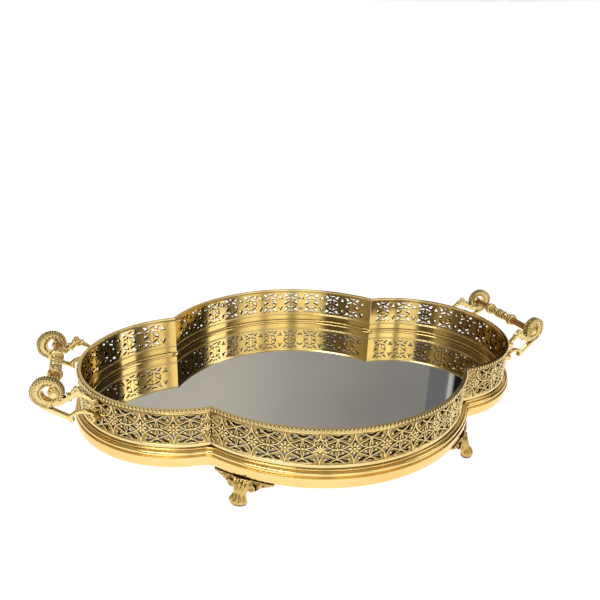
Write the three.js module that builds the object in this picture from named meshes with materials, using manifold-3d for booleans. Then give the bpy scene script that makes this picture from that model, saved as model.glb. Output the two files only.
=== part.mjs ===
// A footed brass vanity tray: a mirror held in a cast base frame, a pierced gallery in four
// panels that meet at the cusps of a four-lobed outline, four cabriole feet, and a scroll
// handle at each end with a turned crossbar.
// Millimetres. +X runs along the tray, +Z is up, the origin is on the table under its centre.

import * as THREE from 'three';
import { mergeVertices } from 'three/addons/utils/BufferGeometryUtils.js';
import Module from 'manifold-3d';

const wasm = await Module();
wasm.setup();

// ---------------------------------------------------------------- driving dimensions

// plan outline at the outer face of the gallery
const END_CENTRE = 110; // end lobe centre, along X
const END_RADIUS = 90;
const SIDE_CENTRE = 12; // side lobe centre, along Y
const SIDE_RADIUS = 135;
const CUSP_FILLET = 16; // rounding of the base frame at a cusp
const STATION_PITCH = 13; // length of one facet along the outline

// heights above the table
const SKIRT_BOTTOM = 17.6;
const MIRROR_TOP = 23;
const LEDGE_TOP = 25.4;
const FRAME_TOP = 31;
const RIM_TOP = 62;

// sheet stock and clearances
const GAP = 0.3;
const MIRROR_THICK = 3;
const PAD_THICK = 0.9;
const PLATE_THICK = 0.9;

// offsets across the outline, positive outwards
const GALLERY_OUT = -0.5;
const GALLERY_IN = -2.5;
const SKIRT_OUT = 4.3;
const SKIRT_IN = -2;
const LEDGE_IN = -4.5;

// flanges of the gallery
const RIM_BOTTOM = 59.4;
const RIM_OUT = 0.4;
const FOOT_FLANGE_BOTTOM = 31.3;
const FOOT_FLANGE_TOP = 34;
const FOOT_FLANGE_OUT = 0.1;

// piercing of the gallery
const SCREW_CLEAR = 6; // no hole nearer than this to a bracket screw
const PIERCED_MID = 46;
const HOLE_REACH = 7.6; // from the middle of a cell to the far side of each hole
const HOLE_NEAR = 3.4;
const HOLE_HALF = 2.9;

// feet
const FOOT_ANGLE = 42; // degrees from the middle of a side lobe
const FOOT_HALF_WIDTH = 24;
const LEG_HALF_WIDTH = 11; // beyond this the foot is only wing
const FOOT_SCREW_ANGLE = 5; // either side of the foot
const FOOT_SCREW_OFFSET = 1;
const FOOT_CURVE = 3; // facets in each curve of a foot

// handles
const RING_X = 219.2;
const RING_Y = 42.5;
const RING_Z = 67;
const RING_RADIUS = 12;
const RING_THICK = 7;
const ARM_THICK = 5;
const TOE_IN = 10; // degrees between a bracket and the XZ plane
const HOOK_REACH = 29.5; // from the ring centre to the hooks, along X
const BAR_X = 214.8;
const BAR_RADIUS = 3.3;
const BOSS_RADIUS = 4.4;
const BOSS_OUT = 5; // from the middle of the ring to the outer face of the boss
const UPPER_HOOK_Z = 57;
const LOWER_HOOK_Z = 44;

// screws
const SCREW_RADIUS = 1.25;
const HEAD_RADIUS = 2.4;
const HEAD_HEIGHT = 1.5;
const SCREW_SIDES = 8;

const RADIANS = Math.PI / 180;

// ---------------------------------------------------------------- finishes

const finish = (color, roughness, metalness) =>
  new THREE.MeshStandardMaterial({ color, roughness, metalness });
const POLISHED_GOLD = finish(0xe2b463, 0.22, 1);
const PIERCED_GOLD = finish(0xd9bd72, 0.34, 1);
const CAST_GOLD = finish(0xe0c168, 0.3, 1);
const SCREW_GOLD = finish(0xc79a45, 0.35, 1);
const MIRROR = finish(0xb9bcbd, 0.03, 1);
const CARD = finish(0x4a3a2c, 0.9, 0);
const SHEET_BRASS = finish(0xb8934a, 0.45, 1);

// ---------------------------------------------------------------- solids

/** Turns a closed geometry into a solid that can be joined and cut. */
function solid(geometry) {
  const bare = geometry.clone();
  bare.deleteAttribute('normal');
  bare.deleteAttribute('uv');
  const merged = mergeVertices(bare, 1e-4);
  return new wasm.Manifold(new wasm.Mesh({
    numProp: 3,
    vertProperties: new Float32Array(merged.attributes.position.array),
    triVerts: new Uint32Array(merged.index.array),
  }));
}

/** Turns a solid back into a geometry. */
function geometryOf(body) {
  const mesh = body.getMesh();
  const geometry = new THREE.BufferGeometry();
  geometry.setAttribute('position', new THREE.BufferAttribute(new Float32Array(mesh.vertProperties), 3));
  geometry.setIndex(new THREE.BufferAttribute(new Uint32Array(mesh.triVerts), 1));
  geometry.computeVertexNormals();
  return geometry;
}

const joined = (solids) => solids.reduce((whole, piece) => whole.add(piece));

/** An upright slab of a plan shape between two heights. */
function slab(shape, bottom, top, curveSegments = 12) {
  const geometry = new THREE.ExtrudeGeometry(shape, {
    depth: top - bottom, bevelEnabled: false, curveSegments,
  });
  return geometry.translate(0, 0, bottom);
}

/** A shape drawn in X and Z, pushed along Y from one place to another. */
function upright(shape, from, to, curveSegments = 10) {
  const geometry = new THREE.ExtrudeGeometry(shape, {
    depth: to - from, bevelEnabled: false, curveSegments,
  });
  return geometry.rotateX(Math.PI / 2).translate(0, to, 0);
}

/** A round bar along Z with the given radius and ends. */
function post(radius, bottom, top, sides = SCREW_SIDES) {
  const geometry = new THREE.CylinderGeometry(radius, radius, top - bottom, sides);
  return geometry.rotateX(Math.PI / 2).translate(0, 0, (bottom + top) / 2);
}

// ---------------------------------------------------------------- outline

/** Where two circles about the centres of an end lobe and a side lobe cross. */
function crossing(endRadius, sideRadius) {
  const span = Math.hypot(END_CENTRE, SIDE_CENTRE);
  const along = (endRadius ** 2 - sideRadius ** 2 + span ** 2) / (2 * span);
  const across = Math.sqrt(endRadius ** 2 - along ** 2);
  const x = END_CENTRE + (SIDE_CENTRE * across - END_CENTRE * along) / span;
  const y = (SIDE_CENTRE * along + END_CENTRE * across) / span;
  return new THREE.Vector2(x, y);
}

/** The cusp of the first quadrant, with both lobes moved outwards by an offset. */
const cusp = (offset) => crossing(END_RADIUS + offset, SIDE_RADIUS + offset);

/** One point of the outline: its place, its outward normal. */
const station = (centre, radius, angle, sign) => ({
  at: new THREE.Vector2(centre.x + radius * Math.cos(angle), centre.y + radius * Math.sin(angle)),
  out: new THREE.Vector2(sign * Math.cos(angle), sign * Math.sin(angle)),
});

/** A quarter of the outline, from the +X end to just short of the +Y side. */
function quarterStations() {
  const end = new THREE.Vector2(END_CENTRE, 0);
  const side = new THREE.Vector2(0, SIDE_CENTRE);
  const fillet = crossing(END_RADIUS + CUSP_FILLET, SIDE_RADIUS + CUSP_FILLET);
  const endStop = Math.atan2(fillet.y - end.y, fillet.x - end.x);
  const sideStart = Math.atan2(fillet.y - side.y, fillet.x - side.x);
  const half = Math.PI;
  const arcs = [
    { centre: end, radius: END_RADIUS, from: 0, to: endStop, sign: 1 },
    { centre: fillet, radius: CUSP_FILLET, from: endStop + half, to: sideStart + half, sign: -1, steps: 3 },
    { centre: side, radius: SIDE_RADIUS, from: sideStart, to: half / 2, sign: 1 },
  ];
  const stations = [];
  for (const { centre, radius, from, to, sign, steps } of arcs) {
    const count = steps ?? Math.round(Math.abs(to - from) * radius / STATION_PITCH);
    for (let i = 0; i < count; i += 1) {
      stations.push(station(centre, radius, from + (to - from) * i / count, sign));
    }
  }
  return stations;
}

/** The whole outline, as stations that run anticlockwise from the +X end. */
function outlineStations() {
  const first = quarterStations();
  const flipped = (list, sx, sy) => list.map(({ at, out }) => ({
    at: new THREE.Vector2(at.x * sx, at.y * sy),
    out: new THREE.Vector2(out.x * sx, out.y * sy),
  }));
  const top = { at: new THREE.Vector2(0, SIDE_CENTRE + SIDE_RADIUS), out: new THREE.Vector2(0, 1) };
  const half = [...first, top, ...flipped(first.slice(1), -1, 1).reverse()];
  return [...half, ...flipped(half, -1, -1)];
}

const STATIONS = outlineStations();

/** The plan shape of the outline moved outwards by an offset. */
function planShape(offset) {
  return new THREE.Shape(STATIONS.map(({ at, out }) =>
    new THREE.Vector2(at.x + out.x * offset, at.y + out.y * offset)));
}

/** A closed section, in radius and height, turned about Z. */
function turned(section, facets) {
  const points = section.map(([radius, height]) => new THREE.Vector2(radius, height));
  return new THREE.LatheGeometry([...points, points[0]].reverse(), facets).rotateX(Math.PI / 2);
}

/** A closed section, in offset and height, carried round the outline. */
function ringGeometry(section) {
  const spin = 1000; // larger than any offset, so that each radius gives one offset
  const geometry = turned(section.map(([offset, height]) => [spin + offset, height]), STATIONS.length);
  const position = geometry.attributes.position;
  const turn = 2 * Math.PI / STATIONS.length;
  for (let i = 0; i < position.count; i += 1) {
    const x = position.getX(i);
    const y = position.getY(i);
    const index = Math.round(Math.atan2(y, x) / turn + STATIONS.length) % STATIONS.length;
    const { at, out } = STATIONS[index];
    const offset = Math.hypot(x, y) - spin;
    position.setXYZ(i, at.x + out.x * offset, at.y + out.y * offset, position.getZ(i));
  }
  return geometry;
}

// ---------------------------------------------------------------- base

const PLATE_TOP = SKIRT_BOTTOM + PLATE_THICK;
const PAD_BOTTOM = PLATE_TOP + GAP;
const SEAT_OFFSET = SKIRT_IN - GAP;

/** The cast ring: ledge over the mirror, seat of the gallery, moulding and skirt. */
function baseFrame() {
  const ring = solid(ringGeometry([
    [0, LEDGE_TOP], [0, FRAME_TOP], [0.7, FRAME_TOP], [1.4, 28.4], [3.8, 26.8],
    [3.2, LEDGE_TOP], [4, 25], [SKIRT_OUT, SKIRT_BOTTOM], [SKIRT_IN, SKIRT_BOTTOM],
    [SKIRT_IN, MIRROR_TOP + GAP], [LEDGE_IN, MIRROR_TOP + GAP], [LEDGE_IN, LEDGE_TOP],
  ]));
  const bores = FEET.flatMap((foot) => foot.screws.map(({ x, y }) =>
    solid(post(SCREW_RADIUS + GAP, SKIRT_BOTTOM - 1, SCREW_TIP + GAP).translate(x, y, 0))));
  return ring.subtract(joined(bores));
}

// ---------------------------------------------------------------- gallery

const END_LOBE = { isEnd: true, radius: END_RADIUS, cells: 12, facets: 48 };
const SIDE_LOBE = { isEnd: false, radius: SIDE_RADIUS, cells: 11, facets: 72 };
const LOBES = {
  right: { ...END_LOBE, x: END_CENTRE, y: 0, middle: 0 },
  back: { ...SIDE_LOBE, x: 0, y: SIDE_CENTRE, middle: Math.PI / 2 },
  left: { ...END_LOBE, x: -END_CENTRE, y: 0, middle: Math.PI },
  front: { ...SIDE_LOBE, x: 0, y: -SIDE_CENTRE, middle: -Math.PI / 2 },
};

/** The plan region that a lobe's panel keeps, bounded by the mitres at its two cusps. */
function mitreRegion(lobe) {
  const far = 300;
  const corner = cusp(0);
  const mitre = cusp(5).sub(cusp(-5)).normalize();
  const outside = corner.clone().addScaledVector(mitre, 60);
  const inside = corner.clone().addScaledVector(mitre, -30);
  const back = GAP / 2;
  const half = lobe.isEnd
    ? [[outside.x + back, outside.y], [inside.x + back, inside.y]]
    : [[outside.x - back, outside.y], [inside.x - back, inside.y]];
  const flip = lobe.x < 0 || lobe.y < 0 ? -1 : 1;
  const outline = lobe.isEnd
    ? [[far, far], ...half, ...half.map(([x, y]) => [x, -y]).reverse(), [far, -far]]
    : [[half[0][0], far], ...half, ...half.map(([x, y]) => [-x, y]).reverse(), [-half[0][0], far]];
  return new THREE.Shape(outline.map(([x, y]) => new THREE.Vector2(x * flip, y * flip)));
}

/** The four holes round one rosette, as cutters that reach through the wall along X. */
function cellCutters() {
  return [0, 1, 2, 3].map((turn) => {
    const hole = new THREE.Shape([
      new THREE.Vector2(HOLE_NEAR, -HOLE_HALF),
      new THREE.Vector2(HOLE_REACH, 0),
      new THREE.Vector2(HOLE_NEAR, HOLE_HALF),
    ]);
    const cutter = new THREE.ExtrudeGeometry(hole, { depth: 12, bevelEnabled: false });
    cutter.translate(0, 0, -6);
    cutter.rotateZ(turn * Math.PI / 2);
    cutter.rotateY(Math.PI / 2);
    return cutter;
  });
}

/** One pierced panel: wall, rim flange and foot flange, with a row of pierced cells. */
function galleryPanel(name) {
  const lobe = LOBES[name];
  const foot = LEDGE_TOP + GAP;
  const section = [
    [GALLERY_IN, foot], [GALLERY_OUT, foot], [GALLERY_OUT, FOOT_FLANGE_BOTTOM],
    [FOOT_FLANGE_OUT, FOOT_FLANGE_BOTTOM], [FOOT_FLANGE_OUT, FOOT_FLANGE_TOP],
    [GALLERY_OUT, FOOT_FLANGE_TOP], [GALLERY_OUT, RIM_BOTTOM], [RIM_OUT, RIM_BOTTOM],
    [RIM_OUT, RIM_TOP], [GALLERY_IN, RIM_TOP],
  ].map(([offset, height]) => [lobe.radius + offset, height]).reverse();
  const wall = solid(turned(section, lobe.facets).translate(lobe.x, lobe.y, 0));
  const screws = BRACKETS.filter(({ end }) => end === name).flatMap((bracket) => bracket.screws);
  const pitch = 4 * Math.PI / lobe.facets;
  const cutters = screws.map((place) => boreAt(place, SCREW_RADIUS + GAP, -6, 3));
  for (let cell = 0; cell < lobe.cells; cell += 1) {
    const angle = lobe.middle + (cell - (lobe.cells - 1) / 2) * pitch;
    for (const hole of cellCutters()) {
      hole.translate(lobe.radius, 0, 0).rotateZ(angle).translate(lobe.x, lobe.y, PIERCED_MID);
      hole.computeBoundingSphere();
      const { center } = hole.boundingSphere;
      const far = (screw) => center.distanceTo(new THREE.Vector3(screw.x, screw.y, screw.z)) > SCREW_CLEAR;
      if (screws.every(far)) cutters.push(solid(hole));
    }
  }
  const region = solid(slab(mitreRegion(lobe), 0, RIM_TOP + 10));
  return cutters.reduce((panel, cutter) => panel.subtract(cutter), wall.intersect(region));
}

// ---------------------------------------------------------------- feet

const WING_TOP = SKIRT_BOTTOM - GAP;
const SCREW_TIP = 22;
const FOOT_HEAD_BOTTOM = 11.6;

/** A place on the front lobe given by an angle from its middle and an offset. */
function onFrontLobe(angle, offset) {
  const reach = SIDE_RADIUS + offset;
  return { x: reach * Math.sin(angle), y: -SIDE_CENTRE - reach * Math.cos(angle) };
}

const FEET = ['front_left', 'front_right', 'back_left', 'back_right'].map((name) => {
  const sx = name.endsWith('left') ? -1 : 1;
  const sy = name.startsWith('front') ? 1 : -1;
  const screws = ['inner', 'outer'].map((side, i) => {
    const angle = (FOOT_ANGLE + (2 * i - 1) * FOOT_SCREW_ANGLE) * RADIANS;
    const place = onFrontLobe(angle, FOOT_SCREW_OFFSET);
    return { side, x: place.x * sx, y: place.y * sy };
  });
  return { name, sx, sy, screws };
});

/** The silhouette of a foot from the front, X across it and Z up. */
function footFront() {
  const shape = new THREE.Shape();
  shape.moveTo(-FOOT_HALF_WIDTH, WING_TOP);
  shape.lineTo(-FOOT_HALF_WIDTH, WING_TOP - 1.6);
  shape.quadraticCurveTo(-16, WING_TOP - 3.4, -12, 9.6);
  shape.quadraticCurveTo(-4.6, 10.4, -4.4, 6.6);
  shape.quadraticCurveTo(-7, 3.2, -5.6, 0);
  shape.lineTo(5.6, 0);
  shape.quadraticCurveTo(7, 3.2, 4.4, 6.6);
  shape.quadraticCurveTo(4.6, 10.4, 12, 9.6);
  shape.quadraticCurveTo(16, WING_TOP - 3.4, FOOT_HALF_WIDTH, WING_TOP - 1.6);
  shape.lineTo(FOOT_HALF_WIDTH, WING_TOP);
  return shape;
}

/** The silhouette of the leg from the side, X outwards from the outline and Z up. */
function footSide() {
  const shape = new THREE.Shape();
  shape.moveTo(-3.5, WING_TOP);
  shape.lineTo(-3.5, 14);
  shape.quadraticCurveTo(1, 13, 4.2, 6.6);
  shape.quadraticCurveTo(4.2, 2, 5, 0);
  shape.lineTo(14.6, 0);
  shape.quadraticCurveTo(16.4, 3.4, 11.4, 7);
  shape.quadraticCurveTo(10.4, 10.6, 9.2, 13.4);
  shape.quadraticCurveTo(8, 17, 5, WING_TOP);
  return shape;
}

/** The curved strip under the skirt, in a foot's own frame, that holds its wings. */
function wingStrip() {
  const strip = new THREE.Shape();
  const half = (FOOT_HALF_WIDTH + 4) / SIDE_RADIUS;
  const down = -Math.PI / 2;
  strip.absarc(0, SIDE_RADIUS, SIDE_RADIUS + SKIRT_OUT, down - half, down + half, false);
  strip.absarc(0, SIDE_RADIUS, SIDE_RADIUS + SEAT_OFFSET, down + half, down - half, true);
  return slab(strip, 8, WING_TOP + 1, 6);
}

/** A cabriole foot, facing along the normal of a side lobe, with its two screw bores. */
function footAt(foot) {
  const front = solid(upright(footFront(), -20, 20, FOOT_CURVE));
  const side = solid(upright(footSide(), -LEG_HALF_WIDTH, LEG_HALF_WIDTH, FOOT_CURVE).rotateZ(-Math.PI / 2));
  const wing = front.intersect(solid(wingStrip()));
  const geometry = geometryOf(front.intersect(side).add(wing));
  const place = onFrontLobe(FOOT_ANGLE * RADIANS, 0);
  geometry.rotateZ(FOOT_ANGLE * RADIANS).translate(place.x, place.y, 0);
  const headBore = FOOT_HEAD_BOTTOM + HEAD_HEIGHT + GAP;
  const bores = foot.screws.flatMap(({ x, y }) => [
    solid(post(SCREW_RADIUS + GAP, 0, WING_TOP + 1).translate(x, y, 0)),
    solid(post(HEAD_RADIUS + GAP, 0, headBore).translate(x, y, 0)),
  ]);
  return mirrored(solid(geometry), foot.sx, foot.sy).subtract(joined(bores));
}

/** A solid mirrored in either upright middle plane, or in both. */
const mirrored = (body, sx, sy) => body.transform([sx, 0, 0, 0, 0, sy, 0, 0, 0, 0, 1, 0, 0, 0, 0, 1]);

/** A slotless round-head screw that points up, with its head at the bottom. */
function uprightScrew({ x, y }) {
  const headTop = FOOT_HEAD_BOTTOM + HEAD_HEIGHT;
  const profile = [
    [0, FOOT_HEAD_BOTTOM], [HEAD_RADIUS * 0.7, FOOT_HEAD_BOTTOM], [HEAD_RADIUS, headTop - 0.5],
    [HEAD_RADIUS, headTop], [SCREW_RADIUS, headTop], [SCREW_RADIUS, SCREW_TIP], [0, SCREW_TIP],
  ].map(([radius, height]) => new THREE.Vector2(radius, height));
  return new THREE.LatheGeometry(profile, SCREW_SIDES).rotateX(Math.PI / 2).translate(x, y, 0);
}

// ---------------------------------------------------------------- handles

/** How far from the long axis the hooks of a bracket meet the gallery. */
const HOOK_Y = RING_Y + HOOK_REACH * Math.tan(TOE_IN * RADIANS);

/** The four brackets, with the places where two screws pass the gallery wall. */
const BRACKETS = ['left', 'right'].flatMap((end) => ['front', 'back'].map((side) => {
  const sx = end === 'left' ? -1 : 1;
  const sy = side === 'front' ? -1 : 1;
  const screws = [['upper', UPPER_HOOK_Z], ['lower', LOWER_HOOK_Z]].map(([level, height]) => {
    const x = END_CENTRE + Math.sqrt((END_RADIUS + GALLERY_OUT) ** 2 - HOOK_Y ** 2);
    const angle = Math.atan2(HOOK_Y * sy, (x - END_CENTRE) * sx);
    return { level, x: x * sx, y: HOOK_Y * sy, z: height, angle };
  });
  return { name: `${end}_${side}`, end, sx, sy, screws };
}));

/** A round bore through the gallery at a screw's place, between two depths. */
function boreAt({ x, y, z, angle }, radius, from, to) {
  const bore = new THREE.CylinderGeometry(radius, radius, to - from, SCREW_SIDES);
  bore.rotateZ(-Math.PI / 2).translate((from + to) / 2, 0, 0).rotateZ(angle).translate(x, y, z);
  return solid(bore);
}

/** A flat ribbon of varying width along a smooth line through points in X and Z. */
function ribbon(points, steps) {
  const line = new THREE.SplineCurve(points.map(([x, z]) => new THREE.Vector2(x, z)));
  const widths = new THREE.SplineCurve(points.map(([, , width], i) => new THREE.Vector2(i, width)));
  const edge = (side) => Array.from({ length: steps + 1 }, (_, i) => {
    const t = i / steps;
    const at = line.getPoint(t);
    const along = line.getTangent(t);
    const half = side * widths.getPoint(t).y / 2;
    return new THREE.Vector2(at.x - along.y * half, at.y + along.x * half);
  });
  return new THREE.Shape([...edge(-1), ...edge(1).reverse()]);
}

/** A scroll bracket of the right end, front side, in the frame of its own ring centre. */
function bracketSolid(bracket) {
  const ring = new THREE.Shape();
  ring.absarc(0, 0, RING_RADIUS, 0, 2 * Math.PI, false);
  const eye = new THREE.Path();
  eye.absellipse(-0.6, -0.4, 6.6, 7.2, 0, 2 * Math.PI, true, 0);
  ring.holes.push(eye);
  const arm = ribbon([[5, -11.5, 3.2], [-1, -15.4, 4.2], [-8, -19.6, 4.2], [-14, -23.2, 4.4]], 3);
  const lowerHook = ribbon([[-14, -22.5, 3], [-17.4, -19.4, 2.8], [-24.9, -18, 2.4], [-30.4, -20.4, 2.4],
    [-31.8, -24.8, 2.4], [-28.4, -26.3, 3.4]], 8);
  const stem = ribbon([[-3, -9.5, 4], [-8, -8, 5], [-14, -6, 5.4], [-21, -2.8, 9.4], [-26, -6, 4.4],
    [-30.1, -7.6, 2.8], [-31.5, -11.1, 2.4], [-28.5, -12.7, 3.4]], 10);
  const half = ARM_THICK / 2;
  const plates = [
    upright(ring, -RING_THICK / 2, RING_THICK / 2, 5),
    upright(arm, -half, half), upright(lowerHook, -half, half), upright(stem, -half, half),
  ];
  const body = joined(plates.map(solid));
  const geometry = geometryOf(body);
  geometry.rotateZ(TOE_IN * RADIANS);
  geometry.translate(RING_X, -RING_Y, RING_Z);
  const bossLength = RING_THICK / 2 + BOSS_OUT;
  const boss = new THREE.CylinderGeometry(BOSS_RADIUS, BOSS_RADIUS, bossLength, 10);
  boss.translate(BAR_X, -RING_Y - BOSS_OUT + bossLength / 2, RING_Z);
  const bar = new THREE.CylinderGeometry(SCREW_RADIUS + GAP, SCREW_RADIUS + GAP, 30, SCREW_SIDES);
  bar.translate(BAR_X, -RING_Y, RING_Z);
  let whole = solid(geometry).add(solid(boss)).subtract(solid(bar));
  const places = bracket.screws.map((place) => ({
    ...place, x: Math.abs(place.x), y: -Math.abs(place.y),
    angle: Math.atan2(-Math.abs(place.y), Math.abs(place.x) - END_CENTRE),
  }));
  const wall = new THREE.Shape();
  wall.absarc(END_CENTRE, 0, END_RADIUS + GALLERY_OUT + 0.9 + GAP, -Math.PI / 2, 0, false);
  wall.lineTo(END_CENTRE, 0);
  whole = whole.subtract(solid(slab(wall, 20, 90, 16)));
  for (const place of places) {
    const pad = boreAt(place, HEAD_RADIUS, GAP, 5.4);
    const hole = boreAt(place, SCREW_RADIUS + GAP, -2, 4.4);
    whole = whole.add(pad.subtract(solid(slab(wall, 20, 90, 16)))).subtract(hole);
  }
  return mirrored(whole, bracket.sx, -bracket.sy);
}

/** A screw through the gallery from inside: domed head inside, tip in the bracket's pad. */
function bracketScrew({ x, y, z, angle }) {
  const seat = GALLERY_IN - GALLERY_OUT - GAP;
  const profile = [
    [0, seat - HEAD_HEIGHT], [HEAD_RADIUS * 0.7, seat - HEAD_HEIGHT * 0.8], [HEAD_RADIUS, seat - 0.3],
    [HEAD_RADIUS, seat], [SCREW_RADIUS, seat], [SCREW_RADIUS, 4], [0, 4],
  ].map(([radius, height]) => new THREE.Vector2(radius, height));
  const screw = new THREE.LatheGeometry(profile, SCREW_SIDES);
  return screw.rotateZ(-Math.PI / 2).rotateZ(angle).translate(x, y, z);
}

const BAR_HALF = RING_Y - RING_THICK / 2 - GAP;
const BAR_BORE_DEPTH = 8;

/** The turned crossbar between the two brackets of an end, bored at both ends. */
function handleBar(sx) {
  const bore = SCREW_RADIUS + GAP;
  const half = [
    [0, BAR_HALF - BAR_BORE_DEPTH], [bore, BAR_HALF - BAR_BORE_DEPTH], [bore, BAR_HALF],
    [BAR_RADIUS, BAR_HALF], [BAR_RADIUS, 19], [5.7, 17.6], [5.7, 15.4], [3.4, 13.8], [4.4, 11.5],
    [3.8, 6], [4.9, 3.6], [3.6, 2.2], [4.6, 0],
  ];
  const lower = half.slice(0, -1).reverse().map(([radius, height]) => [radius, -height]);
  const profile = [...half, ...lower].reverse();
  const points = profile.map(([radius, height]) => new THREE.Vector2(radius, height));
  return new THREE.LatheGeometry(points, 12).translate(BAR_X * sx, 0, RING_Z);
}

/** The domed screw that holds one end of a crossbar. */
function barScrew({ sx, sy }) {
  const seat = RING_Y + BOSS_OUT + GAP;
  const tip = BAR_HALF - BAR_BORE_DEPTH + 1;
  const profile = [
    [0, tip], [SCREW_RADIUS, tip], [SCREW_RADIUS, seat], [3.2, seat], [2.9, seat + 1], [1.6, seat + 1.9],
    [0, seat + 2.1],
  ].map(([radius, height]) => new THREE.Vector2(radius, height));
  const screw = new THREE.LatheGeometry(profile, SCREW_SIDES);
  return screw.rotateX(sy < 0 ? Math.PI : 0).translate(BAR_X * sx, 0, RING_Z);
}

// ---------------------------------------------------------------- assembly

const tray = new THREE.Group();

/** Adds one named piece to the tray. */
function addPiece(name, geometry, material) {
  const mesh = new THREE.Mesh(geometry, material);
  mesh.name = name;
  tray.add(mesh);
}

addPiece('base_frame', geometryOf(baseFrame()), POLISHED_GOLD);
addPiece('base_plate', slab(planShape(SEAT_OFFSET), SKIRT_BOTTOM, PLATE_TOP), SHEET_BRASS);
addPiece('backing_pad', slab(planShape(SEAT_OFFSET), PAD_BOTTOM, PAD_BOTTOM + PAD_THICK), CARD);
addPiece('mirror_glass', slab(planShape(SEAT_OFFSET), MIRROR_TOP - MIRROR_THICK, MIRROR_TOP), MIRROR);

for (const name of Object.keys(LOBES)) {
  addPiece(`gallery_${name}`, geometryOf(galleryPanel(name)), PIERCED_GOLD);
}

for (const foot of FEET) {
  addPiece(`foot_${foot.name}`, geometryOf(footAt(foot)), CAST_GOLD);
  for (const screw of foot.screws) {
    addPiece(`foot_screw_${foot.name}_${screw.side}`, uprightScrew(screw), SCREW_GOLD);
  }
}

for (const bracket of BRACKETS) {
  addPiece(`handle_bracket_${bracket.name}`, geometryOf(bracketSolid(bracket)), CAST_GOLD);
  addPiece(`bar_screw_${bracket.name}`, barScrew(bracket), CAST_GOLD);
  for (const screw of bracket.screws) {
    addPiece(`bracket_screw_${bracket.name}_${screw.level}`, bracketScrew(screw), SCREW_GOLD);
  }
}

addPiece('handle_bar_left', handleBar(-1), CAST_GOLD);
addPiece('handle_bar_right', handleBar(1), CAST_GOLD);

export default tray;
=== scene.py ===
"""A footed brass vanity tray: mirror floor, pierced gallery, cabriole feet and scroll handles.

Sizes are in millimetres while a piece is being made, and each finished mesh is scaled to metres.
+X runs along the tray, +Z is up, and the origin is on the table under the tray's centre.
"""

import logging
import math
from dataclasses import dataclass, field
from enum import Enum, IntEnum

import bmesh
import bpy
from mathutils import Matrix, Vector


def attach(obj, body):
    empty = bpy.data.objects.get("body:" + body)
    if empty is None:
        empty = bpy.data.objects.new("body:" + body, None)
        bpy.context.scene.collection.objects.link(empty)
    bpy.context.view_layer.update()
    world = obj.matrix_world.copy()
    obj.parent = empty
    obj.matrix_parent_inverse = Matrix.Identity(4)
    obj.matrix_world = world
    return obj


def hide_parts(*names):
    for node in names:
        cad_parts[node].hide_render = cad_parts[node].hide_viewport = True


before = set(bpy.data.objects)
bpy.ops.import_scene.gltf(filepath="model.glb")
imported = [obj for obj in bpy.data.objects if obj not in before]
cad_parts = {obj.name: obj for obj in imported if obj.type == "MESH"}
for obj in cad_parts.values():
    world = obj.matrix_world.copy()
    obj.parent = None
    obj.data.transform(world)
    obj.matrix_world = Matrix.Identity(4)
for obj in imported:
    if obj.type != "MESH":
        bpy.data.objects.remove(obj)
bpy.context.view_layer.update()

MM = 0.001
Plane = list[tuple[float, float]]
Tone = tuple[float, float, float]
Socket = bpy.types.NodeSocket
log = logging.getLogger("tray")


class Slot(Enum):
    """The record's material slots."""

    POLISHED = "polished_gold"
    PIERCED = "pierced_gold"
    CAST = "cast_gold"
    SCREW = "screw_brass"
    SHEET = "sheet_brass"
    MIRROR = "mirror"
    FELT = "felt"


# ---------------------------------------------------------------- shader maths


class Value:
    """A number that varies over a surface, so that shader maths reads as ordinary arithmetic."""

    def __init__(self, tree: bpy.types.NodeTree, socket: Socket) -> None:
        """Args:
            tree: the node tree that the socket belongs to.
            socket: the output that carries the number.
        """
        self.tree = tree
        self.socket = socket

    def _math(self, operation: str, *terms: "Value | float", clamp: bool = False) -> "Value":
        """Adds one Math node.

        Args:
            operation: the node's operation.
            terms: its inputs, in order.
            clamp: whether the result is held between 0 and 1.

        Returns:
            The node's result.
        """
        node = self.tree.nodes.new("ShaderNodeMath")
        node.operation = operation
        node.use_clamp = clamp
        for place, term in zip(node.inputs, terms):
            if isinstance(term, Value):
                self.tree.links.new(term.socket, place)
            else:
                place.default_value = term
        return Value(self.tree, node.outputs[0])

    def __add__(self, other: "Value | float") -> "Value":
        return self._math("ADD", self, other)

    __radd__ = __add__

    def __sub__(self, other: "Value | float") -> "Value":
        return self._math("SUBTRACT", self, other)

    def __rsub__(self, other: "Value | float") -> "Value":
        return self._math("SUBTRACT", other, self)

    def __mul__(self, other: "Value | float") -> "Value":
        return self._math("MULTIPLY", self, other)

    __rmul__ = __mul__

    def __pow__(self, other: float) -> "Value":
        return self._math("POWER", self, other)

    def around(self, across: "Value") -> "Value":
        """Args:
            across: the other leg.

        Returns:
            The angle of a direction whose legs are across and this.
        """
        return self._math("ARCTAN2", self, across)

    def held(self) -> "Value":
        """Returns: the number held between 0 and 1."""
        return self._math("ADD", self, 0.0, clamp=True)


def mixed(tree: bpy.types.NodeTree, amount: Value, first: Tone | Socket, second: Tone | Socket) -> Socket:
    """Mixes two colours.

    Args:
        tree: the nodes that the mix is added to.
        amount: 0 for the first colour, 1 for the second.
        first: linear red, green and blue, or a colour socket.
        second: the same.

    Returns:
        The mixed colour.
    """
    node = tree.nodes.new("ShaderNodeMix")
    node.data_type = "RGBA"
    tree.links.new(amount.held().socket, node.inputs[0])
    for key, colour in ((6, first), (7, second)):
        if isinstance(colour, Socket):
            tree.links.new(colour, node.inputs[key])
        else:
            node.inputs[key].default_value = (*colour, 1)
    return node.outputs[2]


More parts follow.
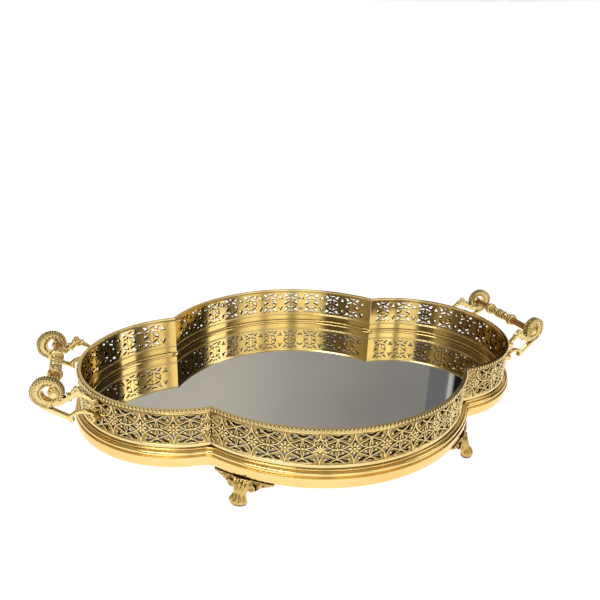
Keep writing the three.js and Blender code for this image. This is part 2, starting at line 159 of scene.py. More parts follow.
class Shader:
    """One material under construction."""

    def __init__(self, name: str) -> None:
        """Args:
            name: the material's name.
        """
        self.material = bpy.data.materials.new(name)
        self.material.use_nodes = True
        self.tree = self.material.node_tree
        self.tree.nodes.clear()
        self.out = self.tree.nodes.new("ShaderNodeOutputMaterial")
        self.place = self.add("ShaderNodeTexCoord").outputs["Object"]

    def add(self, kind: str, settings: dict | None = None, inputs: dict | None = None) -> bpy.types.Node:
        """Adds any node.

        Args:
            kind: the node's type.
            settings: properties that are set before the sockets.
            inputs: values, Values or sockets by socket name or number.

        Returns:
            The new node.
        """
        node = self.tree.nodes.new(kind)
        for key, value in (settings or {}).items():
            setattr(node, key, value)
        for key, value in (inputs or {}).items():
            source = value.socket if isinstance(value, Value) else value
            if isinstance(source, Socket):
                self.tree.links.new(source, node.inputs[key])
            else:
                node.inputs[key].default_value = source
        return node

    def noise(self, scale: float, detail: float = 3.0, stretch: Vector = Vector((1, 1, 1))) -> Value:
        """Adds a noise pattern.

        Args:
            scale: repeats per metre.
            detail: how many finer layers it has.
            stretch: how much faster it changes along each axis.

        Returns:
            The noise, from 0 to 1.
        """
        spot = self.add("ShaderNodeMapping", inputs={"Vector": self.place, "Scale": stretch})
        node = self.add("ShaderNodeTexNoise", inputs={
            "Vector": spot.outputs[0], "Scale": scale, "Detail": detail,
        })
        return Value(self.tree, node.outputs["Fac"])

    def occlusion_shade(self, reach: float) -> Value:
        """Finds how much light is shut out of hollow places, for painted shade, from an ambient occlusion
        node.

        Args:
            reach: how far around a point is looked at, in metres.

        Returns:
            0 on open faces, up to 1 deep in a hollow.
        """
        node = self.add("ShaderNodeAmbientOcclusion", {"samples": 6}, {"Distance": reach})
        return 1.0 - Value(self.tree, node.outputs["AO"])

    def blend(self, amount: Value, first: Tone | Socket, second: Tone | Socket) -> Socket:
        """Args:
            amount: 0 for the first colour, 1 for the second.
            first: a colour or a colour socket.
            second: a colour or a colour socket.

        Returns:
            The mixed colour.
        """
        return mixed(self.tree, amount, first, second)

    def bump(self, height: Value, depth: float) -> Socket:
        """Makes a bump from a height pattern.

        Args:
            height: the pattern.
            depth: its depth in metres.

        Returns:
            The bumped normal.
        """
        node = self.add("ShaderNodeBump", inputs={"Height": height, "Distance": depth, "Strength": 1.0})
        return node.outputs[0]

    def surface(self, **sockets: object) -> bpy.types.Material:
        """Ends the material in a Principled shader.

        Args:
            sockets: its inputs, with underscores for spaces.

        Returns:
            The finished material.
        """
        inputs = {key.replace("_", " "): value for key, value in sockets.items()}
        shader = self.add("ShaderNodeBsdfPrincipled", inputs=inputs)
        self.tree.links.new(shader.outputs[0], self.out.inputs[0])
        return self.material


@dataclass(frozen=True)
class Gilding:
    """A gold-plated finish with painted shade in its hollow places, from an ambient occlusion node."""

    name: str
    bright: Tone = (0.86, 0.62, 0.22)
    warm: Tone = (0.74, 0.44, 0.12)
    # deep: the colour that the painted shade darkens hollow places towards
    deep: Tone = (0.10, 0.045, 0.008)
    roughness: float = 0.16
    # the reach of the painted shade round a point, and its strength
    shade_reach: float = 0.0015
    hollow: float = 1.0
    grain: float = 0.00002
    grain_scale: float = 900.0
    cloud_scale: float = 22.0
    wipe_scale: float = 60.0

    def make(self) -> bpy.types.Material:
        """Returns: the material."""
        shader = Shader(self.name)
        clouds = shader.noise(self.cloud_scale, 4.0)
        specks = shader.noise(self.grain_scale, 2.0)
        wipes = shader.noise(self.wipe_scale, 5.0, Vector((1, 1, 4)))
        # painted shade: hollow places darkened towards the deep colour, and made rougher
        painted_shade = (shader.occlusion_shade(self.shade_reach) * 1.5 * self.hollow) ** 1.4
        gold = shader.blend((clouds - 0.3) * 1.8, self.bright, self.warm)
        colour = shader.blend(painted_shade, gold, self.deep)
        roughness = self.roughness + (wipes - 0.5) * 0.14 + painted_shade.held() * 0.25
        return shader.surface(
            Base_Color=colour, Metallic=1.0, Roughness=roughness.held(),
            Normal=shader.bump(specks + wipes * 0.6, self.grain),
        )


@dataclass(frozen=True)
class MirrorFinish:
    """Silvered glass with faint wiping marks."""

    name: str
    silver: Tone = (0.86, 0.86, 0.85)
    smudged: Tone = (0.70, 0.70, 0.71)

    def make(self) -> bpy.types.Material:
        """Returns: the material."""
        shader = Shader(self.name)
        clouds = shader.noise(9.0, 5.0)
        wipes = shader.noise(26.0, 4.0, Vector((1, 3, 1)))
        colour = shader.blend((clouds - 0.45) * 2.2, self.silver, self.smudged)
        return shader.surface(
            Base_Color=colour, Metallic=1.0, Roughness=(0.003 + (wipes - 0.4) * 0.008).held(),
        )


@dataclass(frozen=True)
class FeltFinish:
    """Pressed felt."""

    name: str
    light: Tone = (0.12, 0.09, 0.07)
    dark: Tone = (0.05, 0.035, 0.025)

    def make(self) -> bpy.types.Material:
        """Returns: the material."""
        shader = Shader(self.name)
        fibres = shader.noise(1400.0, 5.0)
        colour = shader.blend(fibres, self.dark, self.light)
        return shader.surface(
            Base_Color=colour, Roughness=0.95, Normal=shader.bump(fibres, 0.0002),
        )


@dataclass(frozen=True)
class Finishes:
    """Every finish of the tray, made once."""

    polished: bpy.types.Material = field(default_factory=Gilding(
        "polished_gold", bright=(0.90, 0.69, 0.29), warm=(0.84, 0.56, 0.19), roughness=0.13, hollow=0.35,
    ).make)
    pierced: bpy.types.Material = field(default_factory=Gilding(
        "pierced_gold", bright=(0.94, 0.77, 0.38), warm=(0.78, 0.56, 0.22), roughness=0.18, hollow=1.2,
        grain=0.00001, deep=(0.06, 0.035, 0.01),
    ).make)
    inside: bpy.types.Material = field(default_factory=Gilding(
        "gallery_inside", bright=(0.86, 0.66, 0.26), warm=(0.60, 0.38, 0.11), roughness=0.13, hollow=1.2,
        grain=0.00001, deep=(0.06, 0.032, 0.008),
    ).make)
    # painted shade: the ground between the raised wires is a dimmer copy of the gallery's gold
    ground_shade: bpy.types.Material = field(default_factory=Gilding(
        "pierced_ground_painted_shade", bright=(0.52, 0.38, 0.14), warm=(0.36, 0.24, 0.08), roughness=0.34, hollow=1.6,
        deep=(0.04, 0.022, 0.006),
    ).make)
    # painted shade: the walls of the holes are coloured nearly black
    shade: bpy.types.Material = field(default_factory=Gilding(
        "hole_walls_painted_shade", bright=(0.06, 0.036, 0.010), warm=(0.035, 0.020, 0.006), roughness=0.6,
        deep=(0.015, 0.008, 0.003),
    ).make)
    cast: bpy.types.Material = field(default_factory=Gilding(
        "cast_gold", bright=(0.92, 0.75, 0.36), warm=(0.76, 0.53, 0.19), roughness=0.2, hollow=1.7,
        grain=0.00003, deep=(0.06, 0.028, 0.006), shade_reach=0.0019,
    ).make)
    foot: bpy.types.Material = field(default_factory=Gilding(
        "foot_gold", bright=(0.78, 0.57, 0.22), warm=(0.56, 0.33, 0.10), roughness=0.22, hollow=2.2,
        grain=0.00003, deep=(0.045, 0.020, 0.005), shade_reach=0.0032,
    ).make)
    # painted shade: the plain lengths of the crossbars are a darker, warmer copy of the cast gold on their
    # rings
    bar: bpy.types.Material = field(default_factory=Gilding(
        "crossbar_painted_shade_gold", bright=(0.62, 0.38, 0.16), warm=(0.44, 0.24, 0.08), roughness=0.2, hollow=1.8,
        deep=(0.05, 0.020, 0.006),
    ).make)
    screw: bpy.types.Material = field(default_factory=Gilding(
        "screw_brass", bright=(0.72, 0.48, 0.18), warm=(0.56, 0.34, 0.11), roughness=0.3,
    ).make)
    sheet: bpy.types.Material = field(default_factory=Gilding(
        "sheet_brass", bright=(0.58, 0.40, 0.15), warm=(0.46, 0.29, 0.10), roughness=0.42, hollow=0.6,
        grain=0.00004, grain_scale=500.0,
    ).make)
    mirror: bpy.types.Material = field(default_factory=MirrorFinish("mirror").make)
    felt: bpy.types.Material = field(default_factory=FeltFinish("felt").make)


# ---------------------------------------------------------------- making meshes


def arc(centre: tuple[float, float], radius: float, start: float, stop: float, steps: int) -> Plane:
    """Args:
        centre: the arc's centre.
        radius: its radius.
        start: its first angle in degrees.
        stop: its last angle in degrees.
        steps: how many segments it has.

    Returns:
        The points of a flat arc.
    """
    turns = [math.radians(start + (stop - start) * i / steps) for i in range(steps + 1)]
    return [(centre[0] + radius * math.cos(a), centre[1] + radius * math.sin(a)) for a in turns]


def smooth_line(points: list[tuple], steps: int) -> list[tuple]:
    """Runs a smooth curve through points of any number of values.

    Args:
        points: the points, each a tuple of numbers.
        steps: segments between two points.

    Returns:
        The points of the curve.
    """
    padded = [points[0], *points, points[-1]]
    line = []
    for i in range(1, len(padded) - 2):
        before, first, second, after = padded[i - 1:i + 3]
        for step in range(steps):
            t = step / steps
            line.append(tuple(
                0.5 * (2 * b + (c - a) * t + (2 * a - 5 * b + 4 * c - d) * t ** 2
                       + (3 * b - a - 3 * c + d) * t ** 3)
                for a, b, c, d in zip(before, first, second, after)
            ))
    return [*line, tuple(points[-1])]


class Work:
    """A mesh being made, in millimetres, from parts that are added to it."""

    def __init__(self) -> None:
        """Starts with nothing."""
        self.mesh = bmesh.new()

    def skin(self, rings: list[list[Vector]], closed: bool = False) -> None:
        """Joins rings of points, all alike in number, into a skin.

        Args:
            rings: the rings in order.
            closed: whether the last ring meets the first; otherwise both ends get a cap.
        """
        loops = [[self.mesh.verts.new(point) for point in ring] for ring in rings]
        count = len(loops[0])
        pairs = list(zip(loops, loops[1:] + loops[:1])) if closed else list(zip(loops, loops[1:]))
        for first, second in pairs:
            for i in range(count):
                j = (i + 1) % count
                self.mesh.faces.new((first[i], first[j], second[j], second[i]))
        if not closed:
            self.mesh.faces.new(loops[0][::-1])
            self.mesh.faces.new(loops[-1])

    def ribbon(self, line: list[tuple], section: Plane, steps: int = 6) -> None:
        """Carries a section along a flat line in X and Z, with a width that varies.

        Args:
            line: points (x, z, width, thickness); the thickness is along Y.
            section: the section's outline, from -1 to 1 across and through.
            steps: segments between two points.
        """
        curve = smooth_line(line, steps)
        rings = []
        for i, (x, z, width, thickness) in enumerate(curve):
            before, after = curve[max(i - 1, 0)], curve[min(i + 1, len(curve) - 1)]
            along = Vector((after[0] - before[0], after[1] - before[1])).normalized()
            rings.append([
                Vector((x - along.y * a * width / 2, b * thickness / 2, z + along.x * a * width / 2))
                for a, b in section
            ])
        self.skin(rings)

    def wire(self, points: list[Vector], radius: float, sides: int = 6, taper: float = 1.0) -> None:
        """Lays a round wire along points.

        Args:
            points: the wire's middle line.
            radius: its radius at the start.
            sides: how many sides it has.
            taper: the share of the radius that is left at its end.
        """
        rings = []
        side = None
        for i, point in enumerate(points):
            along = (points[min(i + 1, len(points) - 1)] - points[max(i - 1, 0)]).normalized()
            if side is None:
                side = along.orthogonal().normalized()
            side = (side - along * side.dot(along)).normalized()
            up = along.cross(side)
            reach = radius * (1 + (taper - 1) * i / max(len(points) - 1, 1))
            turns = [2 * math.pi * k / sides for k in range(sides)]
            rings.append([point + (side * math.cos(a) + up * math.sin(a)) * reach for a in turns])
        self.skin(rings)

    def ball(self, centre: tuple, size: tuple | float, turn: Matrix | None = None, around: int = 8) -> None:
        """Adds a ball or an egg.

        Args:
            centre: its middle.
            size: its radius, or a radius for each axis.
            turn: how it is turned before it is placed.
            around: segments round it.
        """
        radii = size if isinstance(size, tuple) else (size, size, size)
        place = Matrix.Translation(centre) @ (turn or Matrix.Identity(4)) @ Matrix.Diagonal((*radii, 1))
        bmesh.ops.create_uvsphere(
            self.mesh, u_segments=around, v_segments=max(4, around * 5 // 8), radius=1.0, matrix=place,
        )

    def turned(self, profile: Plane, sides: int) -> None:
        """Turns a profile of (radius, height) about Z into a closed solid.

        Args:
            profile: from the bottom of the axis to its top; the two ends lie on the axis.
            sides: how many sides it has.
        """
        first = len(self.mesh.verts)
        angles = [2 * math.pi * k / sides for k in range(sides)]
        rings = [
            [Vector((max(r, 1e-4) * math.cos(a), max(r, 1e-4) * math.sin(a), h)) for a in angles]
            for r, h in profile
        ]
        self.skin(rings)
        self.mesh.verts.ensure_lookup_table()
        bmesh.ops.remove_doubles(self.mesh, verts=self.mesh.verts[first:], dist=1e-3)

    def take(self, other: "Work", place: Matrix) -> None:
        """Adds a copy of another mesh.

        Args:
            other: what is copied.
            place: where the copy goes.
        """
        copy = bpy.data.meshes.new("copy")
        other.mesh.to_mesh(copy)
        copy.transform(place)
        self.mesh.from_mesh(copy)
        bpy.data.meshes.remove(copy)

    def move(self, place: Matrix) -> None:
        """Moves all of it.

        Args:
            place: the move.
        """
        bmesh.ops.transform(self.mesh, matrix=place, verts=self.mesh.verts[:])

    def cut(self, at: Vector, away: Vector) -> None:
        """Cuts everything off on one side of a plane and closes the cut.

        Args:
            at: a point of the plane.
            away: the direction of the side that is lost.
        """
        everything = self.mesh.verts[:] + self.mesh.edges[:] + self.mesh.faces[:]
        made = bmesh.ops.bisect_plane(
            self.mesh, geom=everything, plane_co=at, plane_no=away, clear_outer=True, dist=1e-4,
        )
        rim = [item for item in made["geom_cut"] if isinstance(item, bmesh.types.BMEdge) and item.is_boundary]
        if rim:
            bmesh.ops.holes_fill(self.mesh, edges=rim, sides=0)

    def body(self, name: str) -> bpy.types.Object:
        """Makes a Blender object of it, with faces that point outwards.

        Args:
            name: the object's name.

        Returns:
            The object, still in millimetres.
        """
        bmesh.ops.recalc_face_normals(self.mesh, faces=self.mesh.faces[:])
        mesh = bpy.data.meshes.new(name)
        self.mesh.to_mesh(mesh)
        self.mesh.free()
        body = bpy.data.objects.new(name, mesh)
        bpy.context.scene.collection.objects.link(body)
        return body


def choose(body: bpy.types.Object) -> None:
    """Makes one object the only selected one.

    Args:
        body: the object.
    """
    bpy.ops.object.select_all(action="DESELECT")
    bpy.context.view_layer.objects.active = body
    body.select_set(True)


def welded(body: bpy.types.Object, voxel: float, smoothing: int) -> bpy.types.Object:
    """Melts overlapping parts into one casting.

    Args:
        body: the parts.
        voxel: the size of the finest detail that is kept, in millimetres.
        smoothing: rounds of smoothing.

    Returns:
        The same object.
    """
    choose(body)
    melt = body.modifiers.new("melt", "REMESH")
    melt.mode = "VOXEL"
    melt.voxel_size = voxel
    melt.use_smooth_shade = True
    bpy.ops.object.modifier_apply(modifier="melt")
    soften = body.modifiers.new("soften", "SMOOTH")
    soften.factor = 0.5
    soften.iterations = smoothing
    bpy.ops.object.modifier_apply(modifier="soften")
    return body


def copied(body: bpy.types.Object, name: str, sx: float, sy: float) -> bpy.types.Object:
    """Copies an object with its own mesh, mirrored in an upright middle plane or in both.

    Args:
        body: what is copied.
        name: the copy's name.
        sx: 1 or -1 along X.
        sy: 1 or -1 along Y.

    Returns:
        The copy.
    """
    twin = body.copy()
    twin.data = body.data.copy()
    twin.name = name
    bpy.context.scene.collection.objects.link(twin)
    twin.data.transform(Matrix.Diagonal((sx, sy, 1, 1)))
    if sx * sy < 0:
        twin.data.flip_normals()
    return twin


def finish(
    body: bpy.types.Object, node: str, material: bpy.types.Material | tuple, crease: float = 35,
) -> None:
    """Scales a piece to metres, shades it and puts it in place of its CAD node.

    Args:
        body: the piece, in millimetres.
        node: the CAD node that it stands for.
        material: its finish, or a finish for each kind of face.
        crease: edges sharper than this stay sharp, in degrees.
    """
    body.data.transform(Matrix.Scale(MM, 4))
    for coat in material if isinstance(material, tuple) else (material,):
        body.data.materials.append(coat)
    choose(body)
    bpy.ops.object.shade_smooth_by_angle(angle=math.radians(crease))
    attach(body, "root")
    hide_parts(node)
    log.info("%s: %d faces", body.name, len(body.data.polygons))


# ---------------------------------------------------------------- plan of the tray


@dataclass(frozen=True)
class Lobe:
    """One of the four lobes of the plan, with places along it."""

    name: str
    x: float
    y: float
    radius: float
    middle: float
    half: float

    def place(self, along: float, offset: float, height: float) -> Vector:
        """Args:
            along: distance along the lobe from its middle, anticlockwise from above.
            offset: distance outwards from the outline.
            height: height above the table.

        Returns:
            The place.
        """
        angle = self.middle + along / self.radius
        reach = self.radius + offset
        return Vector((self.x + reach * math.cos(angle), self.y + reach * math.sin(angle), height))


@dataclass(frozen=True)
class Plan:
    """The four-lobed outline at the outer face of the gallery."""

    end_centre: float = 110.0
    end_radius: float = 90.0
    side_centre: float = 12.0
    side_radius: float = 135.0
    fillet: float = 16.0

    def crossing(self, end_reach: float, side_reach: float) -> Vector:
        """Args:
            end_reach: radius about the centre of an end lobe.
            side_reach: radius about the centre of a side lobe.

        Returns:
            Where the two circles cross in the first quarter.
        """
        span = math.hypot(self.end_centre, self.side_centre)
        along = (end_reach ** 2 - side_reach ** 2 + span ** 2) / (2 * span)
        across = math.sqrt(end_reach ** 2 - along ** 2)
        x = self.end_centre + (self.side_centre * across - self.end_centre * along) / span
        y = (self.side_centre * along + self.end_centre * across) / span
        return Vector((x, y, 0))

    def cusp(self, offset: float) -> Vector:
        """Args:
            offset: distance outwards from the outline.

        Returns:
            The corner between two lobes.
        """
        return self.crossing(self.end_radius + offset, self.side_radius + offset)

    def lobes(self) -> list[Lobe]:
        """Returns: the four lobes."""
        corner = self.cusp(0)
        end_half = math.atan2(corner.y, corner.x - self.end_centre)
        side_half = math.atan2(corner.x, corner.y - self.side_centre)
        ends = [("right", 1, 0.0), ("left", -1, math.pi)]
        sides = [("back", 1, math.pi / 2), ("front", -1, -math.pi / 2)]
        return [
            *(Lobe(n, s * self.end_centre, 0, self.end_radius, a, end_half) for n, s, a in ends),
            *(Lobe(n, 0, s * self.side_centre, self.side_radius, a, side_half) for n, s, a in sides),
        ]

    def quarter(self, pitch: float) -> list[tuple[Vector, Vector]]:
        """Args:
            pitch: rough distance between stations.

        Returns:
            Places and outward directions from the +X end to just short of the +Y side.
        """
        end = Vector((self.end_centre, 0, 0))
        side = Vector((0, self.side_centre, 0))
        hollow = self.crossing(self.end_radius + self.fillet, self.side_radius + self.fillet)
        end_stop = math.atan2(hollow.y - end.y, hollow.x - end.x)
        side_start = math.atan2(hollow.y - side.y, hollow.x - side.x)
        arcs = [
            (end, self.end_radius, 0.0, end_stop, 1),
            (hollow, self.fillet, end_stop + math.pi, side_start + math.pi, -1),
            (side, self.side_radius, side_start, math.pi / 2, 1),
        ]
        stations = []
        for centre, radius, start, stop, sign in arcs:
            steps = max(6, round(abs(stop - start) * radius / pitch))
            for i in range(steps):
                angle = start + (stop - start) * i / steps
                ray = Vector((math.cos(angle), math.sin(angle), 0))
                stations.append((centre + ray * radius, ray * sign))
        return stations

    def round(self, pitch: float) -> list[tuple[Vector, Vector]]:
        """Args:
            pitch: rough distance between stations.

        Returns:
            Places and outward directions all round the outline.
        """
        first = self.quarter(pitch)
        top = (Vector((0, self.side_centre + self.side_radius, 0)), Vector((0, 1, 0)))

        def flipped(items: list, sx: int, sy: int) -> list:
            scale = Matrix.Diagonal((sx, sy, 1))
            return [(scale @ at, scale @ out) for at, out in items]

        half = [*first, top, *flipped(first[1:], -1, 1)[::-1]]
        return [*half, *flipped(half, -1, -1)]


# ---------------------------------------------------------------- base frame


@dataclass
class BaseFrame:
    """The cast ring with its ledge over the mirror, moulding and plain skirt."""

    plan: Plan
    skirt_bottom: float = 17.6
    mirror_gap: float = 23.3
    ledge_top: float = 25.4
    seat: float = -2.0
    lip: float = -4.5
    pitch: float = 4.0

    def profile(self) -> Plane:
        """Returns: the section as offset and height, round the metal."""
        upper = [(0.0, self.ledge_top), (0.0, 30.9), (0.15, 31.1)]
        bead = arc((0.75, 30.35), 0.72, 110, -50, 7)
        cove = [(1.15, 29.6), (1.2, 29.3)]
        torus = arc((1.95, 27.75), 1.8, 112, -52, 12)
        groove = [(3.05, 26.2), (2.95, 25.9), (3.0, 25.6), (3.2, 25.5)]
        edge = [(4.0, 25.45), (4.3, 25.3), (4.42, 25.0)]
        skirt = [(4.5, 23.6), (4.52, 21.8), (4.42, 19.8), (4.25, 18.3), (4.1, 17.8), (3.9, self.skirt_bottom)]
        under = [(self.seat, self.skirt_bottom), (self.seat, self.mirror_gap), (self.lip, self.mirror_gap)]
        inside = [(self.lip, 24.5), (-4.35, 25.0), (-3.9, 25.35), (-3.4, self.ledge_top),
                  (-2.8, self.ledge_top)]
        return [*upper, *bead, *cove, *torus, *groove, *edge, *skirt, *under, *inside]

    def build(self, finishes: Finishes) -> None:
        """Args:
            finishes: the tray's finishes.
        """
        work = Work()
        section = self.profile()
        stations = self.plan.round(self.pitch)
        work.skin([
            [at + out * offset + Vector((0, 0, height)) for offset, height in section]
            for at, out in stations
        ], closed=True)
        finish(work.body("moulded_base_frame"), "base_frame", finishes.polished, 40)


# ---------------------------------------------------------------- gallery


@dataclass(frozen=True)
class Filigree:
    """The pattern of one pierced band, in millimetres along (u) and up (v) from a rosette."""

    pitch: float = 24.46
    half_height: float = 12.2
    wire: float = 0.57
    relief: float = 0.2
    opening: float = 1.14

    @property
    def reach(self) -> float:
        """Returns: from a rosette to the crossing beside it."""
        return self.pitch / 2

    def rosette_holes(self) -> list[Plane]:
        """Returns: four pointed holes round a rosette."""
        point = [(4.7, -2.6), (6.3, -1.7), (8.4, -0.6), (10.0, 0.0), (8.4, 0.6), (6.3, 1.7), (4.7, 2.6),
                 (5.2, 0.0)]
        holes = []
        for turn in range(4):
            c, s = round(math.cos(turn * math.pi / 2)), round(math.sin(turn * math.pi / 2))
            holes.append([(c * u - s * v, s * u + c * v) for u, v in point])
        return holes

    def medallion_holes(self) -> list[Plane]:
        """Returns: the crown, heart and side holes round a medallion."""
        crown = [(-3.2, 3.9), (-3.0, 5.6), (-1.7, 6.9), (0, 7.4), (1.7, 6.9), (3.0, 5.6), (3.2, 3.9),
                 (1.8, 5.0), (0, 5.5), (-1.8, 5.0)]
        heart = [(-2.5, -5.9), (-1.4, -5.5), (0, -6.2), (1.4, -5.5), (2.5, -5.9), (2.0, -7.2), (0, -8.5),
                 (-2.0, -7.2)]
        sides = self.rosette_holes()
        return [crown, heart, sides[0], sides[2]]

    def crossing_holes(self) -> list[Plane]:
        """Returns: the holes above and below a crossing."""
        pair = [(0.9, 7.0), (1.4, 4.4), (2.9, 4.5), (4.8, 4.1), (6.2, 3.2), (6.0, 4.9), (3.6, 6.1)]
        outer = [(3.4, 8.2), (5.4, 7.2), (6.9, 6.9), (7.0, 8.9), (8.6, 9.9), (8.0, 10.9), (6.0, 10.3)]
        low = [(1.6, 1.6), (2.4, 1.0), (2.4, 3.0), (1.6, 3.6)]
        crescent = [(-3.4, 10.8), (-2.0, 9.7), (0, 9.2), (2.0, 9.7), (3.4, 10.8), (2.0, 11.3), (0, 10.4),
                    (-2.0, 11.3)]
        upper = [pair, self.flip(pair), outer, self.flip(outer), low, self.flip(low), crescent]
        return [*upper, *([(u, -v) for u, v in hole][::-1] for hole in upper)]

    @staticmethod
    def flip(points: Plane) -> Plane:
        """Args:
            points: a loop.

        Returns:
            The loop mirrored left to right.
        """
        return [(-u, v) for u, v in points][::-1]

    def holes(self, centres: list[tuple[float, bool]], limit: float) -> list[Plane]:
        """Args:
            centres: each rosette's place and whether it is a medallion.
            limit: no hole reaches farther than this from the middle.

        Returns:
            All holes of a band.
        """
        found = []
        for centre, medal in centres:
            group = [(centre, hole) for hole in (self.medallion_holes() if medal else self.rosette_holes())]
            group += [(centre + self.reach, hole) for hole in self.crossing_holes()]
            for shift, hole in group:
                mu, mv = (sum(values) / len(hole) for values in zip(*hole))
                grown = [(mu + (u - mu) * self.opening, mv + (v - mv) * self.opening) for u, v in hole]
                moved = [(u + shift, v) for u, v in grown]
                if max(abs(u) for u, _ in moved) < limit:
                    found.append(moved)
        return found

    def lay(self, work: Work, line: Plane, radius: float, taper: float = 1.0) -> None:
        """Lays a wire on the flat band.

        Args:
            work: the mesh it is added to; X is along, Y outwards, Z up.
            line: its points.
            radius: its radius.
            taper: the share of the radius left at its end.
        """
        work.wire([Vector((u, self.relief, v)) for u, v in line], radius, 6, taper)

    def crossing_relief(self, work: Work) -> None:
        """Adds the ribbons, stems and buds of a crossing, at its right place beside a rosette.

        Args:
            work: the mesh that they are added to.
        """
        shift = self.reach
        top = self.half_height
        for up in (1, -1):
            for side in (1, -1):
                bow = arc((0, top), self.reach, -90, -90 + 90 * side, 9)
                self.lay(work, [(shift + u, up * v) for u, v in bow], self.wire)
                ribbon = smooth_line([(-8.6, 4.0), (-4.6, 5.6), (0, 8.1), (3.0, 9.4), (5.6, 11.6)], 2)
                self.lay(work, [(shift + side * u, up * v) for u, v in ribbon], self.wire * 0.85)
                stem = [(1.3, 1.4), (0.9, 4.0), (0, 7.8)]
                self.lay(work, [(shift + side * u, up * v) for u, v in stem], self.wire * 0.7)
                work.ball((shift + side * 3.9, 0.3, up * 2.7), (1.1, 0.85, 1.0))
                work.ball((shift + side * 8.4, 0.25, up * 8.0), (1.05, 0.8, 1.05))
        work.ball((shift, 0.25, 0), (1.2, 0.8, 1.2))

    def rosette(self) -> Work:
        """Returns: a rosette with eight petals and the crossing at its right."""
        work = Work()
        for petal in range(8):
            angle = petal * math.pi / 4
            turn = Matrix.Rotation(-angle, 4, "Y")
            centre = (2.9 * math.cos(angle), 0.2, 2.9 * math.sin(angle))
            work.ball(centre, (1.75, 0.75, 1.0), turn)
        work.ball((0, 0.45, 0), (1.25, 0.8, 1.25))
        self.crossing_relief(work)
        return work

    def medallion(self) -> Work:
        """Returns: a palmette with the crossing at its right."""
        work = Work()
        for leaf in range(7):
            angle = math.radians(90 + (leaf - 3) * 30)
            turn = Matrix.Rotation(-angle, 4, "Y")
            centre = (2.5 * math.cos(angle), 0.3, -1.2 + 2.7 * math.sin(angle))
            work.ball(centre, (2.5, 0.85, 0.85), turn)
        work.ball((0, 0.5, -1.2), (1.7, 0.95, 1.7))
        for side in (1, -1):
            work.ball((side * 2.5, 0.4, -3.4), (1.5, 0.9, 1.3))
            work.ball((side * 4.1, 0.3, -1.6), (1.0, 0.8, 1.2))
            hood = arc((0, 3.6), 4.6, 90, 90 - 100 * side, 7)
            self.lay(work, hood, self.wire)
        self.crossing_relief(work)
        return work


class Face(IntEnum):
    """The kinds of face of a gallery panel, in the order of its finishes."""

    RAISED = 0
    GROUND = 1
    HOLE_WALL = 2
    INSIDE = 3


